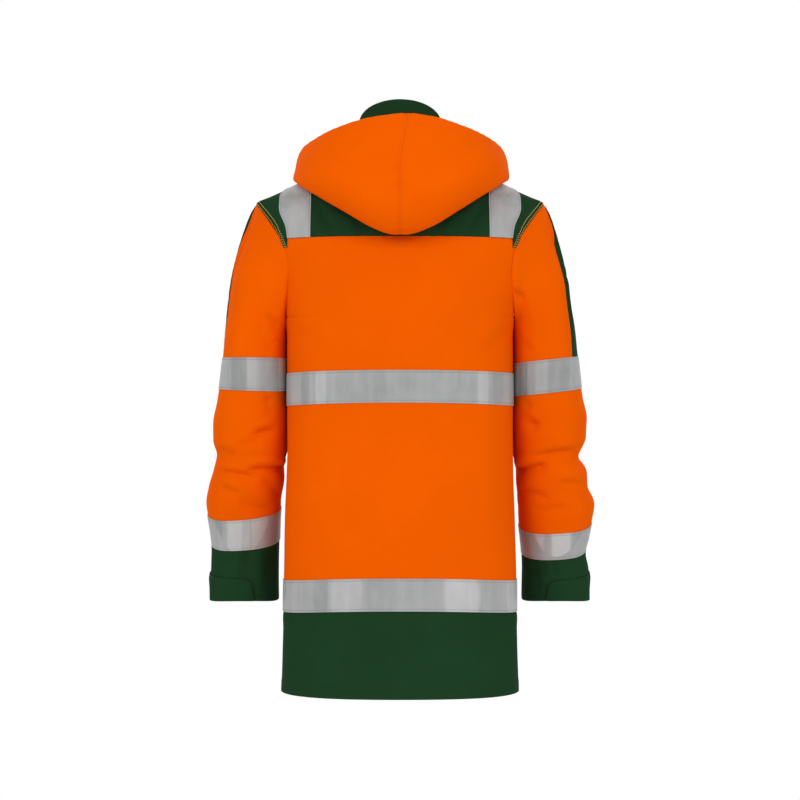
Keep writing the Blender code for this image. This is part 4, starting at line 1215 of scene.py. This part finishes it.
for name, sleeve in SLEEVES.items():
    seam = sleeve["upper_tape"][1]
    cuff_seam = sleeve["lower_tape"][-1] + CUFF_LAP
    downs = sleeve_downs(SLEEVE_START, seam - HALF_GAP)
    hind_seam = np.radians(column(sleeve["swing"], "turn", downs, "down"))
    first, last = hind_seam + EDGE_GAP, STRIPE_TURN - EDGE_GAP
    turns = first + (last - first) * stations(SLEEVE_GIRTH - STRIPE_GIRTH, SLEEVE_GRID)
    upper = sleeve_panel(name, turns, downs, ("left", "right"))
    first, last = STRIPE_TURN + EDGE_GAP, 2 * math.pi + hind_seam - EDGE_GAP
    stripe = sleeve_panel(name, first + (last - first) * stations(STRIPE_GIRTH), downs, ("left", "right"))
    lower = sleeve_panel(name, RING, sleeve_downs(seam + HALF_GAP, cuff_seam - HALF_GAP))
    for piece, part, finish, slot, flat, area in (
            ("sleeve_upper", upper, orange_cloth, "orange_fabric", (0.44, 0.25), 0.075),
            ("sleeve_stripe", stripe, green_cloth, "green_fabric", (0.10, 0.25), 0.021),
            ("sleeve_lower", lower, orange_cloth, "orange_fabric", (0.42, 0.29), None)):
        item = cloth(f"{piece}_{name}_cloth", [part], finish)
        put_on(item, slot, f"{piece}_{name}", flat=flat, held="hung", area=area, rests_on=["yoke"])
    silver_sleeve_tape = beaded(f"silver_{name}_sleeve_tape", SLEEVE_TAPE_PAINTED_LIGHT[name])
    tape_seams = []
    for key in ("upper_tape", "lower_tape"):
        part = sleeve_panel(name, RING, sleeve_downs(sleeve[key][0], sleeve[key][-1]), (), ON_TOP, TAPE_ROWS)
        item = cloth(f"sleeve_{key}_{name}_cloth", [part], silver_sleeve_tape, TAPE)
        put_on(item, "reflective_tape", f"sleeve_{key}_{name}", flat=(0.41, 0.05), held="laid",
               rests_on=[f"sleeve_lower_{name}"])
        tape_seams += [(part, *row) for row in TAPE_ROWS]
    sew(f"sleeve_tape_{name}_stitching", tape_seams, grey_thread, "reflective_tape")


# ---------------------------------------------------------------------------------------------------
# Cuffs: dark green bands that close each sleeve, and on the outer side a tab with one round corner that
# narrows the cuff. Both are hemmed and stitched close to their edges.

CUFF_FOLDS = {
    "left": (
        (272, -612, 262, -660, 9, 1.6, 2), (240, -606, 246, -652, 7, -2.2, 2),
        (222, -610, 226, -690, 9, 1.6, 0), (300, -628, 268, -640, 7, -2.0, 0),
        (208, -612, 204, -696, 8, -2.4, 0),
    ),
    "right": (
        (-214, -628, -222, -690, 8, -2.2, 2), (-262, -626, -256, -690, 10, 1.6, 2),
        (-246, -626, -246, -656, 4, -3.0, 0), (-296, -636, -262, -644, 7, -2.2, 0),
        (-238, -640, -204, -652, 6, -1.8, 1),
    ),
}


CUFF_RIPPLE = 0.0005
CUFF_END = 0.692
CUFF_DROP = 0.0085
CUFF_LIFT = 0.006
CUFF_ROW = 0.0045
CUFF_RING = np.linspace(0.0, 2 * math.pi, 130)
# The tab runs from the front round the outer side to the back, which is where the turns are positive
TAB_TURNS = (math.radians(-45), math.radians(105))
TAB_ROUND = 0.020
TAB_LENGTH = 0.155
TAB_END_ROW = 0.0035
TAB_ROWS = (("first", 0.0030), ("right", TAB_END_ROW))


def cuff_relief(name):
    """Folds of one cuff and its tab, deeper behind than before."""

    def relief(points, away):
        share = 0.3 + 0.7 * facing_back(away, -0.3, 0.3)
        return share * folds(points, CUFF_FOLDS[name]) + ripple(points, CUFF_RIPPLE, 5.0)

    return relief


def cuff_part(name, turns, tops, shares, sewn=(), lift=0.0, stitched=()):
    """A panel from its top edge down to the cuff's edge, which is a little higher at the back."""
    raised = np.maximum(np.sin(turns + SLEEVES[name]["twist"]), 0.0) ** 2
    ends = CUFF_END + CUFF_DROP - CUFF_LIFT * raised
    downs = tops + (ends - tops) * shares[:, None]
    return panel(on_side(name), turns + 0 * downs, downs, sewn, cuff_relief(name), lift,
                 turned=name == "left", stitched=stitched)


for name, sleeve in SLEEVES.items():
    cuff_seam = sleeve["lower_tape"][-1] + CUFF_LAP + HALF_GAP
    height = CUFF_END - cuff_seam
    shares = stations(height, GRID, (height - CUFF_ROW,))
    cuff_panel = cuff_part(name, CUFF_RING, cuff_seam, shares, stitched=(("last", CUFF_ROW),))
    cuff = cloth(f"cuff_{name}_cloth", [cuff_panel], green_cloth)
    put_on(cuff, "green_fabric", f"cuff_{name}", flat=(0.38, 0.088), held="hung",
           rests_on=[f"sleeve_lower_{name}"])

    along = stations(TAB_LENGTH, GRID, (TAB_LENGTH - TAB_END_ROW,))
    turns = TAB_TURNS[0] + (TAB_TURNS[1] - TAB_TURNS[0]) * along - sleeve["twist"]
    from_end = np.interp(turns, (turns[0], turns[-1]), (TAB_LENGTH, 0.0))
    corner = TAB_ROUND - np.sqrt(np.maximum(TAB_ROUND**2 - np.maximum(TAB_ROUND - from_end, 0.0) ** 2, 0.0))
    tab_panel = cuff_part(name, turns, sleeve["tab"] + corner, stations(CUFF_END - sleeve["tab"]),
                          ("first", "right"), SEAM_GAP + CLOTH, TAB_ROWS)
    flap = cloth(f"cuff_tab_{name}_cloth", [tab_panel], green_cloth)
    put_on(flap, "green_fabric", f"cuff_tab_{name}", flat=(TAB_LENGTH, 0.040), held="laid",
           rests_on=[f"cuff_{name}_cloth"])
    cuff_seams = [(cuff_panel, "last", CUFF_ROW), *[(tab_panel, *row) for row in TAB_ROWS]]
    sew(f"cuff_{name}_stitching", cuff_seams, green_thread, "green_fabric")


# ---------------------------------------------------------------------------------------------------
# Collar: a dark green stand-up band sewn round the neck hole, higher at the back, where its top edge
# shows above the lowered hood.

# Collar: half width, half depth and height of its top edge at the side, and how far the back stands above it
COLLAR_WIDTH = 0.066
COLLAR_DEPTH = 0.062
COLLAR_TOP = 0.0655
COLLAR_RISE = 0.030
COLLAR_SPREAD = 0.012
COLLAR_UPRIGHT = 0.042
COLLAR_GIRTH = 0.42
COLLAR_HEIGHT = 0.075
COLLAR_RIPPLE = 0.0004
COLLAR_FOLDS = ((-40, 20, -30, 90, 9, 1.0, 2), (34, 20, 28, 90, 9, -0.9, 2), (4, 60, 8, 98, 7, 0.8, 0))
COLLAR_ROWS = (("first", 0.0035), ("last", 0.0040), ("left", 0.0045), ("right", 0.0045))


def collar_point(angle, rise):
    """A point of the collar's outer face, from the neck seam at rise 0 to its top edge at rise 1."""
    angle, rise = np.broadcast_arrays(np.asarray(angle, float), np.asarray(rise, float))
    along = unit(body_point(angle + STEP, NECK) - body_point(angle - STEP, NECK))
    across = np.cross(square_to(along, outward(body_point, angle, NECK - STEP)), along)
    start = body_point(angle, NECK) + SEWN_ON * across
    leave = start + COLLAR_SPREAD * across
    top = np.stack((COLLAR_WIDTH * np.cos(angle), COLLAR_DEPTH * np.sin(angle),
                    COLLAR_TOP + COLLAR_RISE * np.sin(angle)), axis=-1)
    arrive = top - np.array((0.0, 0.0, COLLAR_UPRIGHT))
    return bezier(start, leave, arrive, top, rise[..., None])


def collar_relief(points, away):
    """Folds of the collar's back."""
    return folds(points, COLLAR_FOLDS) * facing_back(away, 0.0, 0.4) + ripple(points, COLLAR_RIPPLE, 1.0)


start = float(body_angle(FRONT_EDGE, NECK, front=True))
angles = (start + (math.pi - 2 * start) * stations(COLLAR_GIRTH))[None, :]
collar_rises = stations(COLLAR_HEIGHT)[:, None]
collar_panel = panel(collar_point, angles, collar_rises, ("first", "left", "right"), collar_relief,
                     stitched=COLLAR_ROWS)
collar = cloth("collar_cloth", [collar_panel], green_cloth)
put_on(collar, "green_fabric", "collar", flat=(0.42, 0.08), held="hung", rests_on=["yoke"])
sew("collar_stitching", [(collar_panel, *row) for row in COLLAR_ROWS], green_thread, "green_fabric")


# ---------------------------------------------------------------------------------------------------
# Hood: two halves of orange cloth joined by a seam down the middle, sewn in under the collar. It lies
# back on the yoke, folded on itself, with a stitched hem round its brim.

# Hood hanging on the back: round the neck from front to centre back, the distance out from the neck's axis
# and the height of the fold it rests on, of its belly and of its brim
HOOD = {
    "angle": (-72, -50, -25, 0, 20, 40, 60, 75, 83, 90),
    "fold_out": (0.079, 0.112, 0.144, 0.163, 0.176, 0.178, 0.176, 0.172, 0.170, 0.170),
    "fold_up": (-0.036, -0.038, -0.033, -0.024, -0.034, -0.056, -0.088, -0.1145, -0.1236, -0.126),
    "belly_out": (0.081, 0.117, 0.150, 0.167, 0.180, 0.193, 0.205, 0.208, 0.207, 0.207),
    "belly_up": (-0.026, -0.022, -0.017, -0.006, -0.010, -0.020, -0.040, -0.054, -0.059, -0.060),
    "brim_out": (0.077, 0.108, 0.140, 0.159, 0.169, 0.164, 0.161, 0.155, 0.153, 0.152),
    "brim_up": (-0.012, -0.006, 0.002, 0.012, 0.023, 0.038, 0.050, 0.056, 0.0585, 0.060),
}
HOOD_RIPPLE = 0.0009
HOOD_ROOT = 0.006
HOOD_CLEAR = 0.0017
HOOD_REST = 0.010
HOOD_GIRTH = 0.24
HOOD_LENGTH = 0.34
BRIM_HEM = 0.018
HOOD_ROWS = (("last", BRIM_HEM), ("right", 0.0035))
PEAK_SHIFT = 0.011
LEFT_PULL = 0.007
SHOULDER_SAG = 0.004
HOOD_FOLDS = (
    # from x, z, to x, z, half width, height, bow: the puckers of the middle seam, then long soft folds
    (10, -6, -14, -9, 3.6, -2.0, 0), (8, -19, -12, -16, 3.4, -2.2, 0), (12, -31, -9, -28, 3.6, -2.0, 0),
    (9, -42, -13, -43, 3.4, 1.8, 0), (11, -54, -10, -52, 3.6, -2.2, 0), (8, -64, -12, -66, 3.4, -1.8, 0),
    (17, -8, 14, -60, 6, 1.4, 0), (-16, -6, -13, -58, 6, 1.2, 0), (0, 40, 2, -110, 22, -0.8, 0),
    (40, 40, 120, 22, 20, 1.4, -6), (-40, 42, -118, 24, 20, 1.4, 6),
    (30, -46, 110, -2, 12, -1.8, -5), (-34, -46, -104, -4, 12, -1.8, 5),
    (52, 20, 96, 4, 10, -1.2, 4), (-58, 22, -98, 6, 10, -1.2, -4),
    (120, 10, 150, -6, 12, 1.4, 3), (-118, 12, -150, -6, 12, 1.4, -3),
)


def body_height(x, y):
    """The level of the body's outer face straight under points near the shoulders."""
    low = np.full(np.shape(x), ARMPIT)
    high = np.full(np.shape(x), NECK)
    for _ in range(40):
        level = (low + high) / 2
        power = column(BODY, "power", level)
        depth = np.where(y > 0, column(BODY, "back", level), column(BODY, "front", level))
        inside = np.abs(x / body_width(level)) ** power + np.abs(y / depth) ** power < 1
        low = np.where(inside, level, low)
        high = np.where(inside, high, level)
    turned = (1 - np.sin(np.arctan2(y, np.abs(x)))) / 2
    return low - FRONT_NECK_DROP * turned**NECK_CURVE * smooth_step(YOKE_SEAM, NECK, low)


def hood_point(angle, along):
    """A point of the hood's outer face: from the neck seam over the yoke, round the fold, up to the brim."""
    angle, along = np.broadcast_arrays(np.asarray(angle, float), np.asarray(along, float))
    degrees = 90 - np.abs(90 - np.degrees(angle))
    away = np.stack((np.cos(angle), np.sin(angle), np.zeros(angle.shape)), axis=-1)
    seam = NECK - HOOD_ROOT
    root = body_point(angle, seam) + HOOD_CLEAR * outward(body_point, angle, np.full(angle.shape, seam))
    points = [root]
    for name in ("fold", "belly", "brim"):
        point = away * column(HOOD, name + "_out", degrees, "angle")[..., None]
        point[..., 2] = column(HOOD, name + "_up", degrees, "angle")
        points.append(point)
    resting = (root + points[1]) / 2
    resting[..., 2] = body_height(resting[..., 0], resting[..., 1]) + HOOD_REST
    points.insert(1, resting)
    stop = len(points) - 1
    points = np.stack([2 * points[0] - points[1], *points, 2 * points[stop] - points[stop - 1]])
    i = np.clip((along * stop).astype(int), 0, stop - 1)
    t = (along * stop - i)[..., None]
    before, here, there, after = (np.take_along_axis(points, (i + k)[None, ..., None], axis=0)[0]
                                  for k in range(4))
    return 0.5 * (2 * here + (there - before) * t + (2 * before - 5 * here + 4 * there - after) * t**2
                  + (3 * here - before - 3 * there + after) * t**3)


def lopsided_hood_point(angle, along):
    """The hood as it has slipped: its peak a little to the right and its left corner pulled in."""
    point = hood_point(angle, along)
    x, z = point[..., 0], point[..., 2]
    peak = np.exp(-((x / 0.07) ** 2)) * smooth_step(-0.03, 0.06, z)
    left_corner = smooth_step(0.05, 0.15, x) * smooth_step(-0.05, -0.01, z)
    shoulders = smooth_step(0.04, 0.10, np.abs(x)) * smooth_step(0.0, 0.05, z)
    x = x - PEAK_SHIFT * peak - LEFT_PULL * left_corner
    return np.stack((x, point[..., 1], z - SHOULDER_SAG * shoulders), axis=-1)


def hood_relief(points, away):
    """Folds of the hood's back."""
    return facing_back(away, 0.0, 0.3) * folds(points, HOOD_FOLDS) + ripple(points, HOOD_RIPPLE, 4.0)


hood_start = math.radians(HOOD["angle"][0])
angles = hood_start + (math.pi / 2 - hood_start) * stations(HOOD_GIRTH)
rows = stations(HOOD_LENGTH, GRID, (HOOD_LENGTH - BRIM_HEM,))[:, None]
hood_panels = []
for name, side, places in (("left", 1, angles), ("right", -1, math.pi - angles)):
    hood_panels.append(panel(lopsided_hood_point, places[None, :], rows, ("right", "last"), hood_relief,
                             shift=(side * HALF_GAP, 0.0, 0.0), stitched=HOOD_ROWS))
    half = cloth(f"hood_{name}_cloth", hood_panels[-1:], orange_cloth)
    put_on(half, "orange_fabric", f"hood_{name}", flat=(0.27, 0.34), held="folded", rests_on=["yoke"],
           area=0.077)
hood_seams = [(part, *row) for part in hood_panels for row in HOOD_ROWS]
sew("hood_stitching", hood_seams, orange_thread, "orange_fabric")


# ---------------------------------------------------------------------------------------------------
# Zip: two rows of moulded plastic teeth that close edge to edge down the middle of a dark woven tape,
# from the hem to the top of the collar.

TOOTH_PITCH = 0.0034
TOOTH_LONG = 0.0021
TOOTH_WIDE = 0.0036
TOOTH_HIGH = 0.0016
TOOTH_BESIDE = 0.0012
# A tooth's rounded top: how far in and how far up; and its waisted head, as a share of its length
TOOTH_INSET = 0.0004
TOOTH_RISE = 0.0003
TOOTH_WAIST = 0.62
SLIDER_ROOM = 0.001
STOP_REACH = 0.0045
# Half of the tape's width in millimetres, as lines from the middle out: it ends tucked behind the fronts
HALF_TAPE = (0.5, 1.9, 3.8, 5.6, 7.5, 7.75, 12.0)
TUCK = CLOTH + 2 * SEAM_GAP
ZIP_LENGTH = 0.84
# The slit between the tape's halves above the end stops: depth, half width and the length it opens over
SLIT = 0.0014
SLIT_HALF = 0.0003
SLIT_START = 0.002

slider_low, slider_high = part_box("zip_slider")


def tape_relief(points, away):
    """How far the tape's edges are tucked in, and the slit between its halves above the slider."""
    beside = np.abs(points[..., 0])
    stop = slider_high[2] + STOP_REACH
    slit = (beside < SLIT_HALF) * smooth_step(stop, stop + SLIT_START, points[..., 2])
    return -TUCK * (beside > ZIP_WIDTH / 2 + STEP) - SLIT * slit


across_tape = np.array([-line for line in HALF_TAPE[::-1]] + [0.0, *HALF_TAPE]) / 1000
share = (0.5 - across_tape / ZIP_WIDTH)[None, :]
zip_levels = HEM + (NECK - HEM) * stations(ZIP_LENGTH)
edge = body_angle(ZIP_WIDTH / 2, zip_levels, front=True)
zip_angles = edge[:, None] + (-math.pi - 2 * edge[:, None]) * share
zip_body = panel(body_point, zip_angles, zip_levels[:, None] + 0 * zip_angles, (),
                 lambda points, away: body_relief(points, away) + tape_relief(points, away))
edge = float(body_angle(ZIP_WIDTH / 2, NECK, front=True))
collar_angles = (edge + (-math.pi - 2 * edge) * share) + 0 * collar_rises
zip_collar = panel(collar_point, collar_angles, collar_rises + 0 * collar_angles, (), tape_relief)
zip_tape = cloth("zip_tape", [zip_body, zip_collar], green_cloth, TAPE)
put_on(zip_tape, "zip_plastic", "zip_band", flat=(0.029, 0.93), held="stretched",
       rests_on=["front_left", "front_right"])

# One tooth: a moulded block with rounded edges, whose head is waisted where the next row's teeth hook in
bpy.ops.object.select_all(action="DESELECT")
bpy.ops.mesh.primitive_cube_add(size=1.0)
tooth = bpy.context.active_object
tooth.scale = (TOOTH_LONG, TOOTH_WIDE, TOOTH_HIGH)
bpy.ops.object.transform_apply(scale=True)
item_in_edit_mode(tooth, (0, 0, 1))
bpy.ops.mesh.inset(thickness=TOOTH_INSET)
bpy.ops.transform.translate(value=(0.0, 0.0, TOOTH_RISE))
bpy.ops.object.mode_set(mode="OBJECT")
item_in_edit_mode(tooth, (0, 1, 0))
bpy.ops.transform.resize(value=(TOOTH_WAIST, 1.0, 1.0))
bpy.ops.object.mode_set(mode="OBJECT")
TOOTH_SHAPE = taken_off(tooth)

moulded_plastic, place = new_finish("moulded_zip_plastic", Specular_IOR_Level=0.5)
mottle = place.noise(240.0, 3.0)
finish_with(moulded_plastic, mottle, ((0.010, 0.022, 0.013), (0.024, 0.044, 0.028)), mottle * 0.22 + 0.28,
            mottle, (0.15, 0.0001))

tooth_places = []
for part in (zip_body, zip_collar):
    points = part["points"][:, len(HALF_TAPE)]
    away = part["away"][:, len(HALF_TAPE)]
    middles, along, out = places_along(points, away, TOOTH_PITCH / 2, TOOTH_LONG)
    aside = np.cross(out, along)
    turn = np.where(np.arange(len(middles)) % 2 == 0, 1.0, -1.0)[:, None]
    middles = middles + aside * TOOTH_BESIDE * -turn + out * TOOTH_HIGH / 2
    above = middles[:, 2] - slider_high[2]
    free = (middles[:, 2] < slider_low[2] - SLIDER_ROOM) | ((above > SLIDER_ROOM) & (above < STOP_REACH))
    tooth_places.append((middles[free], (along * turn)[free], out[free]))
teeth = copies("zip_teeth", TOOTH_SHAPE, tooth_places, moulded_plastic)
teeth.data.shade_flat()
put_on(teeth, "zip_plastic")


# ---------------------------------------------------------------------------------------------------
# Slider and pull tab: die-cast zinc with a brushed, lacquered dark nickel finish, worn brighter in
# patches, as where fingers and the teeth rub it. The pull hangs on the slider's loop.

brushed_metal, place = new_finish("brushed_zip_metal", Metallic=1.0)
strokes = place.stretched(1800.0, 1800.0, 120.0).noise(1.0, 3.0)
worn = (strokes * 0.5 + place.noise(160.0, 3.0) * 0.5).between(0.35, 0.65)
finish_with(brushed_metal, worn, ((0.20, 0.20, 0.205), (0.46, 0.46, 0.46)), strokes * 0.25 + 0.26,
            strokes, (0.2, 0.00008))
for name in ("zip_slider", "zip_pull"):
    item = bpy.data.objects[name]
    for slot in item.material_slots:
        slot.material = brushed_metal
